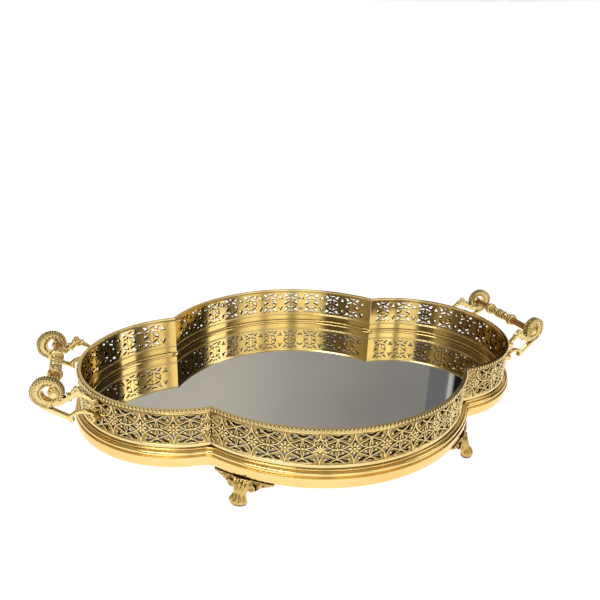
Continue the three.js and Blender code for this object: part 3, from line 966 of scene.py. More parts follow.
@dataclass
class GalleryPanel:
    """One pierced panel of the gallery, bent round its lobe and mitred at the cusps."""

    plan: Plan
    lobe: Lobe
    first_rosette: float
    medallion_phase: int
    pattern: Filigree = field(default_factory=Filigree)
    bottom: float = 25.7
    top: float = 62.0
    middle: float = 46.2
    inner: float = -3.2
    outer: float = -1.0
    end_rib: float = 3.4
    bend_pitch: float = 4.0
    bead: float = 0.92
    bead_pitch: float = 3.1
    bead_offset: float = -0.35
    bead_height: float = 61.0
    overrun: float = 3.0
    mitre_gap: float = 0.12

    @property
    def half(self) -> float:
        """Returns: half the panel's length along the outline."""
        return self.lobe.half * self.lobe.radius

    @property
    def stations(self) -> list[float]:
        """Returns: places along the panel from one rough end to the other, one for each bend."""
        reach = self.half + self.overrun
        steps = int(2 * reach / self.bend_pitch)
        return [-reach + 2 * reach * i / steps for i in range(steps + 1)]

    def centres(self) -> list[tuple[float, bool]]:
        """Returns: every rosette's place and whether it is a medallion, beyond both ends."""
        return [
            (self.first_rosette + k * self.pattern.pitch, (k - self.medallion_phase) % 5 == 0)
            for k in range(-8, 9)
            if abs(self.first_rosette + k * self.pattern.pitch) < self.half + self.pattern.pitch
        ]

    def sheet(self) -> Work:
        """Returns: the flat pierced sheet with its thickness, X along, Y outwards, Z up."""
        reach = self.half + self.overrun
        low, high = self.bottom - self.middle, self.top - self.middle
        plate = bpy.data.curves.new("plate", "CURVE")
        plate.dimensions = "2D"
        plate.fill_mode = "BOTH"
        outline = [(-reach, low), (reach, low), (reach, high), (-reach, high)]
        for loop in [outline, *self.pattern.holes(self.centres(), self.half - self.end_rib)]:
            spline = plate.splines.new("POLY")
            spline.points.add(len(loop) - 1)
            for point, (u, v) in zip(spline.points, loop):
                point.co = (u, v, 0, 1)
            spline.use_cyclic_u = True
        body = bpy.data.objects.new("plate", plate)
        bpy.context.scene.collection.objects.link(body)
        choose(body)
        bpy.ops.object.convert(target="MESH")
        work = Work()
        work.mesh.from_mesh(body.data)
        bpy.data.objects.remove(body)
        bmesh.ops.remove_doubles(work.mesh, verts=work.mesh.verts[:], dist=1e-3)
        for along in self.stations[1:-1]:
            everything = work.mesh.verts[:] + work.mesh.edges[:] + work.mesh.faces[:]
            bmesh.ops.bisect_plane(
                work.mesh, geom=everything, plane_co=(along, 0, 0), plane_no=(1, 0, 0), dist=1e-4,
            )
        made = bmesh.ops.extrude_face_region(work.mesh, geom=work.mesh.faces[:])
        raised = [item for item in made["geom"] if isinstance(item, bmesh.types.BMVert)]
        bmesh.ops.translate(work.mesh, verts=raised, vec=(0, 0, self.outer - self.inner))
        work.move(Matrix(((1, 0, 0, 0), (0, 0, 1, self.inner), (0, 1, 0, 0), (0, 0, 0, 1))))
        work.mesh.normal_update()
        # painted shade: the outer ground and the hole walls get darker finishes than the raised wires
        for face in work.mesh.faces:
            middle = face.calc_center_median()
            if middle.y < self.inner + 0.01:
                face.material_index = Face.INSIDE
            elif abs(middle.z) > self.pattern.half_height:
                face.material_index = Face.RAISED
            elif abs(face.normal.y) < 0.5:
                face.material_index = Face.HOLE_WALL
            elif middle.y > self.outer - 0.01:
                face.material_index = Face.GROUND
        return work

    def relief(self, work: Work) -> None:
        """Adds the raised pattern to the flat sheet.

        Args:
            work: the sheet.
        """
        kinds = {False: self.pattern.rosette(), True: self.pattern.medallion()}
        for centre, medal in self.centres():
            work.take(kinds[medal], Matrix.Translation((centre, self.outer, 0)))
        for kind in kinds.values():
            kind.mesh.free()

    def flanges(self, work: Work) -> None:
        """Adds the rim and foot mouldings to the flat sheet.

        Args:
            work: the sheet.
        """
        rim = [(-3.4, 58.9), (-1.2, 58.2), (-0.5, 58.4), (-0.25, 58.9), (-0.5, 59.4), (-1.0, 59.8),
               (-1.15, 61.2), (-1.4, 61.8), (-1.9, 62.0), (-3.1, 61.9), (-3.4, 61.4)]
        foot = [(-1.3, 31.2), (-0.1, 31.2), (-0.05, 32.2), (-0.4, 32.7), (-0.35, 33.2), (-0.7, 33.7),
                (-1.3, 34.0)]
        inside = [(-2.9, 31.0), (-2.9, 33.6), (-3.4, 33.2), (-3.65, 32.4), (-3.4, 31.4)]
        for section in (rim, foot, inside):
            work.skin([
                [Vector((along, offset, height - self.middle)) for offset, height in section]
                for along in self.stations
            ])

    def beads(self, work: Work) -> None:
        """Adds the row of beads along the rim.

        Args:
            work: the sheet.
        """
        count = round(2 * self.half / self.bead_pitch)
        for i in range(count):
            along = -self.half + 2 * self.half * (i + 0.5) / count
            work.ball((along, self.bead_offset, self.bead_height - self.middle), self.bead)

    def bend(self, work: Work) -> None:
        """Bends the flat panel round its lobe and cuts its mitres.

        Args:
            work: the flat panel.
        """
        for vertex in work.mesh.verts:
            u, n, v = vertex.co
            vertex.co = self.lobe.place(u, n, v + self.middle)
        mitre = (self.plan.cusp(5) - self.plan.cusp(-5)).normalized()
        for side in (1, -1):
            corner = self.lobe.place(side * self.half, 0, 0)
            sx = math.copysign(1, corner.x)
            sy = math.copysign(1, corner.y)
            slope = Vector((mitre.x * sx, mitre.y * sy, 0))
            away = Vector((-slope.y, slope.x, 0))
            ahead = self.lobe.place(side * (self.half + 9), 0, 0) - corner
            if away.dot(ahead) < 0:
                away = -away
            work.cut(corner - away * self.mitre_gap, away)

    def build(self, finishes: Finishes) -> None:
        """Args:
            finishes: the tray's finishes.
        """
        work = self.sheet()
        self.relief(work)
        self.flanges(work)
        self.beads(work)
        self.bend(work)
        body = work.body(f"pierced_gallery_{self.lobe.name}")
        coats = (finishes.pierced, finishes.ground_shade, finishes.shade, finishes.inside)
        finish(body, f"gallery_{self.lobe.name}", coats, 50)


# ---------------------------------------------------------------- feet

@dataclass
class Foot:
    """A cabriole foot with scrolled wings; X is across it, -Y outwards, Z up, on the outline."""

    plan: Plan
    angle: float = 42.0
    wing_top: float = 17.25
    wing_out: float = 3.0
    bead: float = 0.6
    bead_pitch: float = 1.6
    bead_out: float = 4.7
    bead_height: float = 16.6
    voxel: float = 0.3

    def outward(self, x: float, out: float) -> float:
        """Args:
            x: distance from the foot's middle.
            out: distance in front of the outline at the middle.

        Returns:
            Y of a place that follows the curve of the skirt.
        """
        reach = self.plan.side_radius + self.wing_out
        return -(out - (reach - math.sqrt(reach ** 2 - x ** 2)))

    def leg(self, work: Work) -> None:
        """Adds the bowed leg down to the toe.

        Args:
            work: the casting.
        """
        stations = smooth_line([
            (17.2, 1.6, 4.4, 9.5), (14.2, 3.0, 5.0, 8.8), (11.4, 5.0, 4.6, 7.2), (9.0, 6.8, 4.0, 5.6),
            (7.0, 7.9, 3.7, 4.9), (5.2, 8.9, 4.2, 5.3), (3.2, 9.9, 4.9, 6.2), (1.4, 10.1, 4.9, 6.7),
            (0.0, 9.8, 4.6, 6.3),
        ], 3)
        ring = arc((0, 0), 1, 0, 345, 23)
        work.skin([
            [Vector((wide * c, -(out + deep * s), z)) for c, s in ring] for z, out, deep, wide in stations
        ])

    def toes(self, work: Work) -> None:
        """Adds the shell of toes.

        Args:
            work: the casting.
        """
        for toe in range(5):
            spread = (toe - 2) / 2
            x = spread * 5.4
            reach = 12.9 - 2.3 * spread ** 2
            turn = Matrix.Rotation(spread * 0.55, 4, "Z") @ Matrix.Rotation(0.45, 4, "X")
            work.ball((x, -reach, 2.5), (1.25, 2.3, 2.5), turn, 12)
            rise = [
                Vector((x * (1 - 0.5 * t), -(reach + 0.8 - 3.6 * t), 4.2 + 5.2 * t)) for t in (0, 0.3, 0.6, 1)
            ]
            work.wire(rise, 0.85, 8, 0.5)

    def wing(self, work: Work, side: int) -> None:
        """Adds one wing with its scrolls.

        Args:
            work: the casting.
            side: 1 or -1.
        """
        plate = [(4, 8.6), (8, 8.9), (11.5, 9.9), (14, 12.1), (17, 13.6), (20.5, 14.7), (23.9, 16.0)]
        rings = []
        for x, low in smooth_line(plate, 3):
            y = self.outward(x, 3.0)
            lean = -1.6 * max(0.0, (self.wing_top - low) / 9)
            across = [
                (y - 1.5, self.wing_top), (y - 1.2 + lean * 0.6, (self.wing_top + low) / 2),
                (y - 0.4 + lean, low), (y + 1.2 + lean, low + 0.2), (y + 1.6, self.wing_top),
            ]
            rings.append([Vector((side * x, *spot)) for spot in across])
        work.skin(rings if side > 0 else [ring[::-1] for ring in rings])
        scrolls = [(7.6, 11.6, 3.0, 0.95, 3.4), (13.6, 14.3, 1.9, 0.75, 2.1), (18.4, 15.3, 1.25, 0.6, 1.6)]
        for x, z, radius, thick, lift in scrolls:
            self.scroll(work, side, (x, z), radius, thick, lift)
        upper = [(1.6, 15.8), (5.5, 15.4), (10.5, 14.8), (15, 15.6), (19.5, 16.0), (23.4, 16.4)]
        lower = [(4.6, 8.6), (8.6, 8.7), (11.8, 10.4), (13.8, 12.4), (17.5, 13.9), (21.2, 14.9)]
        for sweep, out, slope, thick in ((upper, 4.5, 0.0, 0.8), (lower, 5.6, 0.08, 0.75)):
            places = [(x, self.outward(x, out - x * slope), z) for x, z in smooth_line(sweep, 3)]
            work.wire([Vector((side * x, y, z)) for x, y, z in places], thick, 8, 0.6)
        work.ball((side * 22.8, self.outward(22.8, 3.9), 15.9), (1.15, 0.9, 1.1), None, 10)

    def scroll(self, work: Work, side: int, centre: tuple, radius: float, thick: float, lift: float) -> None:
        """Adds one scroll of a wing with the eye in its middle.

        Args:
            work: the casting.
            side: 1 or -1.
            centre: its X, before the side is taken, and its height.
            radius: its outer radius.
            thick: the radius of its wire at the start.
            lift: how far it stands in front of the wing.
        """
        spiral = []
        for i in range(19):
            turn = math.radians(80 - i * 26)
            reach = radius * (1 - 0.04 * i)
            x = centre[0] + reach * math.cos(turn)
            y = self.outward(centre[0], 3.0 + lift - 0.2 * (i > 12))
            spiral.append(Vector((side * x, y, centre[1] + reach * math.sin(turn))))
        work.wire(spiral, thick, 8, 0.7)
        eye = (side * centre[0], self.outward(centre[0], 3.1 + lift), centre[1])
        work.ball(eye, (radius * 0.4, 1.0, radius * 0.4), None, 10)

    def acanthus(self, work: Work) -> None:
        """Adds the leaf down the front of the leg.

        Args:
            work: the casting.
        """
        for rib in range(5):
            spread = (rib - 2) / 2
            spine = smooth_line([
                (spread * 5.4, 5.6 - abs(spread) * 0.7, 16.4), (spread * 4.6, 8.5 - abs(spread), 13.6),
                (spread * 3.2, 9.9 - abs(spread) * 0.9, 10.8), (spread * 2.2, 11.0 - abs(spread) * 0.8, 8.0),
            ], 3)
            work.wire([Vector((x, -n, z)) for x, n, z in spine], 1.0, 8, 0.55)
        for level, (n, z, wide) in enumerate(((7.7, 14.6, 4.6), (9.7, 11.9, 3.7), (10.9, 9.4, 2.9))):
            for side in (1, -1):
                turn = Matrix.Rotation(side * (0.7 + 0.1 * level), 4, "Y")
                work.ball((side * wide, -(n - 1.4), z), (1.7, 0.9, 0.9), turn, 10)
        work.ball((0, -8.6, 14.2), (1.4, 1.1, 1.9), None, 12)

    def beads(self, work: Work) -> None:
        """Adds the fine beads along the top of the wings.

        Args:
            work: the casting.
        """
        for i in range(-14, 15):
            x = i * self.bead_pitch
            work.ball((x, self.outward(x, self.bead_out), self.bead_height), self.bead, None, 8)

    def build(self, finishes: Finishes) -> None:
        """Makes one foot and copies it to the four places.

        Args:
            finishes: the tray's finishes.
        """
        work = Work()
        self.leg(work)
        self.toes(work)
        self.acanthus(work)
        self.beads(work)
        for side in (1, -1):
            self.wing(work, side)
        turn = math.radians(self.angle)
        reach = self.plan.side_radius
        place = Vector((reach * math.sin(turn), -self.plan.side_centre - reach * math.cos(turn), 0))
        work.move(Matrix.Translation(place) @ Matrix.Rotation(turn, 4, "Z"))
        model = welded(work.body("foot"), self.voxel, 1)
        for end, sx in (("left", -1), ("right", 1)):
            for side, sy in (("front", 1), ("back", -1)):
                body = copied(model, f"cast_foot_{side}_{end}", sx, sy)
                finish(body, f"foot_{side}_{end}", finishes.foot, 60)
        bpy.data.objects.remove(model)


# ---------------------------------------------------------------- handles


@dataclass
class Bracket:
    """A scroll bracket; X is outwards from its ring's centre, Z up, Y through it."""

    plan: Plan
    ring: tuple = (219.2, -42.5, 67.0)
    rim: float = 11.2
    bead_ring: float = 11.3
    bead: tuple = (0.76, 1.75, 0.76)
    bead_side: float = 1.7
    bead_start: float = -100.0
    bead_stop: float = 194.4
    bead_gaps: int = 32
    bar_reach: float = -4.4
    boss_out: float = 5.0
    boss_in: float = 3.5
    pad_radius: float = 2.3
    pad_start: float = 0.4
    pad_stop: float = 5.2
    toe_in: float = 10.0
    hook_reach: float = 29.5
    hook_heights: tuple = (57.0, 44.0)
    wall_offset: float = -0.5
    voxel: float = 0.28
    band_section: tuple = (
        (-1.0, 0.5), (-0.94, 0.88), (-0.78, 0.9), (-0.68, 0.62), (-0.2, 0.7), (0.25, 0.68), (0.52, 0.6),
        (0.66, 0.92), (0.9, 0.98), (1.0, 0.6),
    )
    bar_section: tuple = ((-1.0, 0.5), (-0.75, 0.9), (0.0, 1.0), (0.75, 0.9), (1.0, 0.5))

    @staticmethod
    def both_faces(half: tuple) -> Plane:
        """Args:
            half: the outline of one face, across and through.

        Returns:
            The closed outline of both faces.
        """
        return [*half, *((a, -b) for a, b in reversed(half))]

    def band(self, work: Work) -> None:
        """Adds the ring's band, which curls in to the boss.

        Args:
            work: the casting.
        """
        widths = [(-118, 4.4), (-90, 5.4), (-60, 6.6), (-28, 7.6), (5, 7.8), (40, 7.4), (75, 6.4), (105, 5.4),
                  (135, 4.6), (160, 4.2), (185, 4.0), (208, 3.8)]
        line = []
        for angle, width in widths:
            reach = self.rim - width / 2
            turn = math.radians(angle)
            line.append((reach * math.cos(turn), reach * math.sin(turn), width, 7.0))
        line += [(-8.4, -5.4, 3.4, 6.6), (-6.2, -6.0, 3.0, 6.0), (-3.6, -4.6, 2.4, 5.6),
                 (-2.6, -2.6, 2.0, 5.2)]
        work.ribbon(line, self.both_faces(self.band_section), 5)

    def beads(self, work: Work) -> None:
        """Adds the rim's beads.

        Args:
            work: the beads.
        """
        for x, z in arc((0, 0), self.bead_ring, self.bead_start, self.bead_stop, self.bead_gaps):
            for y in (-self.bead_side, self.bead_side):
                work.ball((x, y, z), self.bead, None, 8)

    def leaf(self, work: Work) -> None:
        """Adds the overlapping leaf lobes on both faces of the band.

        Args:
            work: the casting.
        """
        for step in range(13):
            angle = -100 + step * 19
            width = 2.0 if angle < 40 else 1.4
            turn = math.radians(angle)
            reach = 7.2 if angle < 40 else 8.2
            for y in (-2.35, 2.35):
                spin = Matrix.Rotation(-turn + 0.7, 4, "Y")
                work.ball((reach * math.cos(turn), y, reach * math.sin(turn)), (width, 0.65, 0.95), spin, 10)

    def stem(self, work: Work) -> None:
        """Adds the leafy stem with its upper hook, and the lower arm with its hook.

        Args:
            work: the casting.
        """
        section = self.both_faces(self.bar_section)
        arm = [(4.5, -10.2, 3.4, 5.4), (-1, -14.4, 3.6, 5.0), (-8, -18.8, 3.4, 4.6), (-14, -22.6, 3.6, 4.6),
               (-15.2, -23.4, 4.6, 4.8)]
        work.ribbon(arm, section, 5)
        work.ribbon([(-15.0, -25.2, 3.2, 4.8), (-14.6, -20.6, 3.2, 4.8)], section, 3)
        lower_hook = [(-14.2, -20.8, 3.0, 4.8), (-18.0, -18.4, 2.8, 4.8), (-24.0, -17.6, 2.5, 4.8),
                      (-29.2, -19.4, 2.4, 4.8), (-31.4, -23.2, 2.2, 4.4), (-29.8, -26.0, 2.0, 4.2),
                      (-27.4, -25.6, 1.8, 4.0)]
        work.ribbon(lower_hook, section, 5)
        work.ball((-27.9, 0, -25.2), (1.9, 2.5, 1.9), None, 14)
        upper_hook = [(-3.5, -9.6, 4.6, 5.4), (-8, -8.4, 4.6, 5.2), (-13, -6.0, 4.4, 5.0),
                      (-18, -3.2, 5.0, 5.0), (-22, -2.2, 5.2, 5.0), (-26, -4.6, 3.6, 4.8),
                      (-29.4, -7.4, 2.6, 4.6), (-31.0, -10.8, 2.2, 4.2), (-29.8, -13.2, 2.0, 4.0)]
        work.ribbon(upper_hook, section, 5)
        work.ball((-28.5, 0, -12.4), (1.9, 2.4, 1.9), None, 14)
        leaves = [(-6.5, -6.6, 2.6, 0.35), (-10.5, -5.0, 2.8, 0.45), (-14.6, -3.4, 2.6, 0.55),
                  (-18.0, -1.2, 2.4, 0.7), (-24.4, -2.2, 2.2, -0.75), (-9.0, -8.6, 2.4, 0.35),
                  (-14.5, -6.6, 2.4, 0.4), (-20.0, -4.2, 2.4, 0.1)]
        for x, z, size, tilt in leaves:
            for y in (-1.7, 1.7):
                work.ball((x, y, z), (size, 1.3, 0.95), Matrix.Rotation(-tilt, 4, "Y"), 12)
        for y in (-1.5, 0.0, 1.5):
            curl = [Vector((x, y, z)) for x, z in arc((-20.2, 0.5), 1.9, 215, -60, 9)]
            work.wire(curl, 0.85, 8)
        work.ball((-20.2, 0, 0.5), (1.3, 2.1, 1.3), None, 12)

    def boss(self, work: Work) -> None:
        """Adds the boss that holds the end of the crossbar.

        Args:
            work: the casting.
        """
        knob = Work()
        low, high = -self.boss_out, self.boss_in
        profile = [(0, low), (3.2, low), (3.9, low + 0.5), (4.0, low + 1.3), (3.3, low + 1.9),
                   (3.5, low + 2.6), (4.2, low + 3.4), (4.2, high - 1.2), (3.6, high - 0.5), (3.3, high),
                   (0, high)]
        knob.turned(profile, 28)
        turn = Matrix.Rotation(math.radians(-90), 4, "X")
        work.take(knob, Matrix.Translation((self.bar_reach, 0, 0)) @ turn)
        knob.mesh.free()

    def build(self, finishes: Finishes) -> None:
        """Makes one bracket and copies it to the four places.

        Args:
            finishes: the tray's finishes.
        """
        work = Work()
        self.band(work)
        self.leaf(work)
        self.stem(work)
        work.move(Matrix.Rotation(math.radians(self.toe_in), 4, "Z"))
        self.boss(work)
        for height in self.hook_heights:
            wall = Vector(self.hook(height))
            out = Vector((wall.x - self.plan.end_centre, wall.y, 0)).normalized()
            pad = wall - Vector(self.ring)
            work.wire([pad + out * self.pad_start, pad + out * self.pad_stop], self.pad_radius, 14)
        work.move(Matrix.Translation(self.ring))
        pearls = Work()
        self.beads(pearls)
        pearls.move(Matrix.Translation(self.ring) @ Matrix.Rotation(math.radians(self.toe_in), 4, "Z"))
        string = pearls.body("pearls")
        model = welded(work.body("bracket"), self.voxel, 1)
        choose(model)
        string.select_set(True)
        bpy.ops.object.join()
        for end, sx in (("left", -1), ("right", 1)):
            for side, sy in (("front", 1), ("back", -1)):
                body = copied(model, f"scroll_bracket_{end}_{side}", sx, sy)
                finish(body, f"handle_bracket_{end}_{side}", finishes.cast, 60)
        bpy.data.objects.remove(model)

    def hook(self, height: float) -> tuple[float, float, float]:
        """Args:
            height: a hook's height above the table.

        Returns:
            Where the right front bracket's screw passes the outer face of the gallery.
        """
        across = self.hook_reach * math.tan(math.radians(self.toe_in)) - self.ring[1]
        reach = self.plan.end_radius + self.wall_offset
        return (self.plan.end_centre + math.sqrt(reach ** 2 - across ** 2), -across, height)


@dataclass
class Crossbar:
    """A turned bar between the two brackets of one end."""

    x: float = 214.8
    z: float = 67.0
    half: float = 38.7
    ring_radius: float = 3.55
    sides: int = 40

    def profile(self) -> Plane:
        """Returns: radius and place along the bar, from one end to the other."""
        half = [
            (0, self.half), (3.0, self.half), (3.25, self.half - 0.3), (3.25, 36.6), (2.9, 36.4), (2.9, 35.9),
            (3.25, 35.7), (3.2, 27), (3.3, 19.2), (3.7, 18.8), *arc((4.6, 17.9), 0.9, 120, -90, 5),
            (4.0, 16.6), *arc((4.9, 15.6), 1.0, 80, -90, 5), (3.7, 14.2), (3.3, 13.6), (3.5, 12.9),
            *arc((3.6, 11.9), 0.95, 70, -70, 4), (3.3, 10.8), (3.5, 9.4), (3.9, 7.8), (3.9, 6.6), (3.4, 5.4),
            (3.2, 4.8), *arc((3.9, 3.6), 0.95, 80, -80, 4), (3.3, 2.4), (3.3, 1.9),
            *arc((3.6, 0.6), 1.0, 60, 0, 3),
        ]
        return [*((r, -y) for r, y in half), *reversed(half)]

    def build(self, finishes: Finishes) -> None:
        """Args:
            finishes: the tray's finishes.
        """
        for end, sx in (("left", -1), ("right", 1)):
            work = Work()
            work.turned(self.profile(), self.sides)
            # painted shade: the rings keep the cast gold and the plain lengths get the darker crossbar finish
            for face in work.mesh.faces:
                middle = face.calc_center_median()
                if math.hypot(middle.x, middle.y) > self.ring_radius:
                    face.material_index = 1
            work.move(Matrix.Translation((sx * self.x, 0, self.z)) @ Matrix.Rotation(math.pi / 2, 4, "X"))
            body = work.body(f"turned_crossbar_{end}")
            finish(body, f"handle_bar_{end}", (finishes.bar, finishes.cast), 40)


# ---------------------------------------------------------------- screws


@dataclass
class Screws:
    """The slotted screws under the feet and inside the gallery, and the domed bar screws."""

    plan: Plan
    foot: Foot
    bracket: Bracket
    crossbar: Crossbar
    shank: float = 1.25
    head: float = 2.4
    thread: float = 0.55
    foot_spread: float = 5.0
    foot_seat: float = 13.1
    foot_offset: float = 1.0
    wall: float = 2.3
    bar_tip: float = 31.7
    bar_seat: float = 47.8

    def slotted(self, name: str, head_height: float, length: float) -> bpy.types.Object:
        """Makes a slotted screw that points up, with its head's seat at height 0.

        Args:
            name: the object's name.
            head_height: from the seat down to the top of the head.
            length: from the seat up to the tip.

        Returns:
            The screw, in millimetres.
        """
        work = Work()
        dome = [(0, -head_height), (self.head * 0.45, -head_height), (self.head * 0.78, -head_height * 0.8),
                (self.head, -head_height * 0.35), (self.head, -0.1), (self.head - 0.1, 0), (self.shank, 0)]
        threads = []
        for i in range(int(length / self.thread) - 1):
            threads += [(self.shank, 0.3 + i * self.thread), (self.shank * 0.82, (i + 1) * self.thread)]
        work.turned([*dome, *threads, (self.shank * 0.7, length - 0.2), (0, length)], 24)
        body = work.body(name)
        cutter = Work()
        size = Matrix.Diagonal((self.head * 2.4, 0.6, 1.2, 1))
        bmesh.ops.create_cube(cutter.mesh, size=1, matrix=Matrix.Translation((0, 0, -head_height)) @ size)
        blade = cutter.body("blade")
        choose(body)
        slot = body.modifiers.new("slot", "BOOLEAN")
        slot.operation = "DIFFERENCE"
        slot.object = blade
        bpy.ops.object.modifier_apply(modifier="slot")
        bpy.data.objects.remove(blade)
        return body

    def place(self, model: bpy.types.Object, node: str, place: Matrix, finishes: Finishes) -> None:
        """Copies a screw to its place.

        Args:
            model: the screw.
            node: the CAD node that it stands for.
            place: where it goes.
            finishes: the tray's finishes.
        """
        body = copied(model, f"{node}_made", 1, 1)
        body.data.transform(place)
        finish(body, node, finishes.screw, 35)

    def under_foot(self, sx: int, sy: int, shift: float) -> Matrix:
        """Args:
            sx: 1 or -1 along X.
            sy: 1 for the front, -1 for the back.
            shift: degrees from the foot's middle.

        Returns:
            The place of a screw up through a foot.
        """
        turn = math.radians(self.foot.angle + shift)
        reach = self.plan.side_radius + self.foot_offset
        x = sx * reach * math.sin(turn)
        y = sy * (-self.plan.side_centre - reach * math.cos(turn))
        return Matrix.Translation((x, y, self.foot_seat)) @ Matrix.Rotation(turn, 4, "Z")

    def through_wall(self, sx: int, sy: int, height: float) -> Matrix:
        """Args:
            sx: 1 or -1 along X.
            sy: 1 for the front, -1 for the back.
            height: height above the table.

        Returns:
            The place of a screw out through the gallery.
        """
        x, y, z = self.bracket.hook(height)
        out = Vector((sx * (x - self.plan.end_centre), sy * y, 0)).normalized()
        spot = Vector((sx * x, sy * y, z)) - out * self.wall
        return Matrix.Translation(spot) @ out.to_track_quat("Z", "Y").to_matrix().to_4x4()

    def build(self, finishes: Finishes) -> None:
        """Args:
            finishes: the tray's finishes.
        """
        upright = self.slotted("foot_screw_model", 1.5, 8.9)
        across = self.slotted("bracket_screw_model", 1.45, 6.2)
        levels = list(zip(("upper", "lower"), self.bracket.hook_heights))
        for end, sx in (("left", -1), ("right", 1)):
            for side, sy in (("front", 1), ("back", -1)):
                for level, shift in (("inner", -self.foot_spread), ("outer", self.foot_spread)):
                    place = self.under_foot(sx, sy, shift)
                    self.place(upright, f"foot_screw_{side}_{end}_{level}", place, finishes)
                for level, height in levels:
                    place = self.through_wall(sx, sy, height)
                    self.place(across, f"bracket_screw_{end}_{side}_{level}", place, finishes)
                self.domed(end, side, sx, sy, finishes)
        bpy.data.objects.remove(upright)
        bpy.data.objects.remove(across)

    def domed(self, end: str, side: str, sx: int, sy: int, finishes: Finishes) -> None:
        """Makes the domed screw at one end of a crossbar.

        Args:
            end: left or right.
            side: front or back.
            sx: 1 or -1 along X.
            sy: 1 for the front, -1 for the back.
            finishes: the tray's finishes.
        """
        dome = [(2.9, 0), (3.2, 0.25), (3.15, 0.6), (2.6, 0.8), (2.5, 1.0), (2.3, 1.5), (1.6, 1.95),
                (0.7, 2.1), (0, 2.12)]
        shank = [(0, self.bar_tip), (self.shank, self.bar_tip), (self.shank, self.bar_seat)]
        work = Work()
        work.turned([*shank, *((r, self.bar_seat + h) for r, h in dome)], 28)
        turn = Matrix.Rotation(math.radians(90 * sy), 4, "X")
        work.move(Matrix.Translation((sx * self.crossbar.x, 0, self.crossbar.z)) @ turn)
        body = work.body(f"domed_bar_screw_{end}_{side}")
        finish(body, f"bar_screw_{end}_{side}", finishes.cast, 35)


# ---------------------------------------------------------------- studio


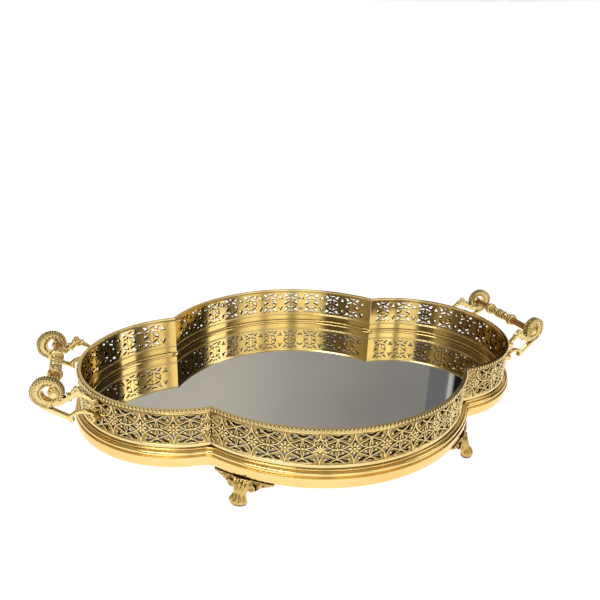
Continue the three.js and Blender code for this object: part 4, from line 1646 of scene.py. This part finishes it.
@dataclass
class Studio:
    """A white floor, a soft sky, soft boxes and the camera.

    The walls are colours by compass angle, and the strips are sharp bands that lie over them.
    """

    floor_reach: float = 8.0
    floor_drop: float = 0.0003
    floor_glow: float = 0.93
    aim: tuple = (0.0, 0.0, 0.04)
    lamps: tuple = (
        ("key", (-0.9, -0.7, 1.3), (0.7, 0.5), 6.0),
        ("fill", (1.2, -0.5, 0.9), (0.5, 0.7), 2.2),
        ("rim", (0.3, 0.8, 1.7), (1.2, 0.3), 4.0),
    )
    camera_place: tuple = (-0.1789, -0.4419, 0.2775)
    right: tuple = (0.9384, -0.3434, 0.0370)
    down: tuple = (-0.0862, -0.3365, -0.9377)
    forward: tuple = (0.3345, 0.8768, -0.3454)
    lens: float = 34.0
    horizon: float = 0.135
    wall_top: float = 0.62
    horizon_edge: float = 60.0
    ceiling_edge: float = 8.0
    strip_edge: float = 8.0
    white: Tone = (1.0, 1.0, 1.0)
    ceiling: Tone = (0.34, 0.33, 0.32)
    walls: tuple = (
        (-180, (0.14, 0.11, 0.08)), (-170, (0.34, 0.29, 0.18)), (-155, (0.50, 0.43, 0.28)),
        (-149, (0.14, 0.12, 0.08)), (-130, (0.10, 0.08, 0.05)), (-125, (1.3, 1.25, 1.0)),
        (-106, (1.5, 1.45, 1.2)), (-102, (0.5, 0.45, 0.30)), (-97, (0.55, 0.5, 0.35)),
        (-94, (1.7, 1.65, 1.35)), (-78, (1.4, 1.3, 1.05)), (-74, (0.45, 0.4, 0.30)),
        (-68, (1.5, 1.4, 1.15)), (-55, (1.3, 1.25, 1.05)), (-47, (0.50, 0.46, 0.38)),
        (-38, (0.16, 0.14, 0.11)), (-14, (0.05, 0.045, 0.035)), (36, (0.03, 0.03, 0.03)),
        (54, (0.25, 0.24, 0.22)), (59, (0.26, 0.248, 0.226)), (69, (0.36, 0.34, 0.306)),
        (78, (0.50, 0.465, 0.405)), (92, (0.50, 0.465, 0.405)), (112, (0.34, 0.30, 0.24)),
        (126, (0.14, 0.10, 0.06)), (180, (0.14, 0.11, 0.08)),
    )
    strips: tuple = (
        (36.0, 51.9, (0.012, 0.012, 0.012)), (51.95, 52.5, (0.52, 0.52, 0.50)),
        (52.55, 54.6, (0.16, 0.16, 0.163)),
    )

    def floor(self) -> None:
        """Makes the floor."""
        bpy.ops.mesh.primitive_grid_add(x_subdivisions=8, y_subdivisions=8, size=2 * self.floor_reach)
        body = bpy.context.active_object
        body.name = "studio_floor"
        body.data.transform(Matrix.Translation((0, 0, -self.floor_drop)))
        shader = Shader("studio_floor")
        cloth = shader.blend(shader.noise(3.0, 2.0), (0.30, 0.30, 0.30), (0.33, 0.33, 0.33))
        glow = shader.blend(shader.noise(3.0, 2.0), (0.97, 0.97, 0.97), (1.0, 1.0, 1.0))
        body.data.materials.append(shader.surface(
            Base_Color=cloth, Roughness=0.9, Emission_Color=glow, Emission_Strength=self.floor_glow,
        ))

    def sky(self) -> None:
        """Makes the surroundings: white low down, grey walls, a pale ceiling."""
        world = bpy.data.worlds.new("studio")
        bpy.context.scene.world = world
        world.use_nodes = True
        tree = world.node_tree
        tree.nodes.clear()
        out = tree.nodes.new("ShaderNodeOutputWorld")
        light = tree.nodes.new("ShaderNodeBackground")
        place = tree.nodes.new("ShaderNodeTexCoord")
        split = tree.nodes.new("ShaderNodeSeparateXYZ")
        tree.links.new(place.outputs["Generated"], split.inputs[0])
        east, north, up = (Value(tree, split.outputs[i]) for i in range(3))
        around = north.around(east) * (0.5 / math.pi) + 0.5
        wall = self.ramp(tree, around, [((angle + 180) / 360, tone) for angle, tone in self.walls])
        turn = around * 360 - 180
        for start, stop, tone in self.strips:
            edge = ((turn - start) * self.strip_edge).held() * ((stop - turn) * self.strip_edge).held()
            wall = mixed(tree, edge, wall, tone)
        lower = mixed(tree, (up - self.horizon) * self.horizon_edge, self.white, wall)
        sky = mixed(tree, (up - self.wall_top) * self.ceiling_edge, lower, self.ceiling)
        tree.links.new(sky, light.inputs[0])
        tree.links.new(light.outputs[0], out.inputs[0])

    @staticmethod
    def ramp(tree: bpy.types.NodeTree, value: Value, stops: list[tuple[float, Tone]]) -> Socket:
        """Args:
            tree: the world's nodes.
            value: what is looked up.
            stops: places from 0 to 1 with their colours.

        Returns:
            The colour found.
        """
        node = tree.nodes.new("ShaderNodeValToRGB")
        tree.links.new(value.socket, node.inputs[0])
        elements = node.color_ramp.elements
        while len(elements) < len(stops):
            elements.new(0.5)
        for element, (position, tone) in zip(elements, stops):
            element.position = position
            element.color = (*tone, 1)
        return node.outputs[0]

    def soft_box(self, name: str, place: tuple, size: tuple, power: float) -> None:
        """Adds a rectangular light that faces the tray.

        Args:
            name: the light's name.
            place: where it stands, in metres.
            size: its width and height, in metres.
            power: its power in watts.
        """
        lamp = bpy.data.lights.new(name, "AREA")
        lamp.shape = "RECTANGLE"
        lamp.size, lamp.size_y = size
        lamp.energy = power
        body = bpy.data.objects.new(name, lamp)
        body.location = place
        body.rotation_euler = (Vector(self.aim) - Vector(place)).to_track_quat("-Z", "Y").to_euler()
        bpy.context.scene.collection.objects.link(body)

    def camera(self) -> None:
        """Makes the camera."""
        eye = bpy.data.cameras.new("camera")
        eye.lens = self.lens
        eye.sensor_width = 36
        eye.clip_start = 0.01
        body = bpy.data.objects.new("camera", eye)
        across, up, back = Vector(self.right), -Vector(self.down), -Vector(self.forward)
        turn = Matrix((across, up, back)).transposed()
        body.matrix_world = Matrix.Translation(self.camera_place) @ turn.to_4x4()
        bpy.context.scene.collection.objects.link(body)
        bpy.context.scene.camera = body

    def build(self) -> None:
        """Makes the floor, the light and the camera."""
        self.floor()
        self.sky()
        for name, place, size, power in self.lamps:
            self.soft_box(name, place, size, power)
        self.camera()
        bpy.context.scene.view_settings.view_transform = "Standard"


# ---------------------------------------------------------------- the tray


# where the pattern of each panel starts: a rosette's place in millimetres, and a medallion's number
PATTERN_STARTS = {"front": (3.7, 3), "back": (3.7, 3), "left": (16.86, 0), "right": (16.86, 0)}


def dress_cad(finishes: Finishes) -> None:
    """Gives the CAD pieces that stay their finishes.

    Args:
        finishes: the tray's finishes.
    """
    kept = {
        "mirror_glass": (finishes.mirror, Slot.MIRROR),
        "backing_pad": (finishes.felt, Slot.FELT),
        "base_plate": (finishes.sheet, Slot.SHEET),
    }
    for name, (material, slot) in kept.items():
        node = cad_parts[name]
        node.data.materials.clear()
        node.data.materials.append(material)


def main() -> None:
    """Builds the tray and its studio."""
    logging.basicConfig(level=logging.INFO, format="%(message)s")
    finishes = Finishes()
    plan = Plan()
    BaseFrame(plan).build(finishes)
    for lobe in plan.lobes():
        first_rosette, first_medallion = PATTERN_STARTS[lobe.name]
        GalleryPanel(plan, lobe, first_rosette, first_medallion).build(finishes)
    foot = Foot(plan)
    foot.build(finishes)
    bracket = Bracket(plan)
    bracket.build(finishes)
    crossbar = Crossbar()
    crossbar.build(finishes)
    Screws(plan, foot, bracket, crossbar).build(finishes)
    dress_cad(finishes)
    Studio().build()


if __name__ == "__main__":
    main()
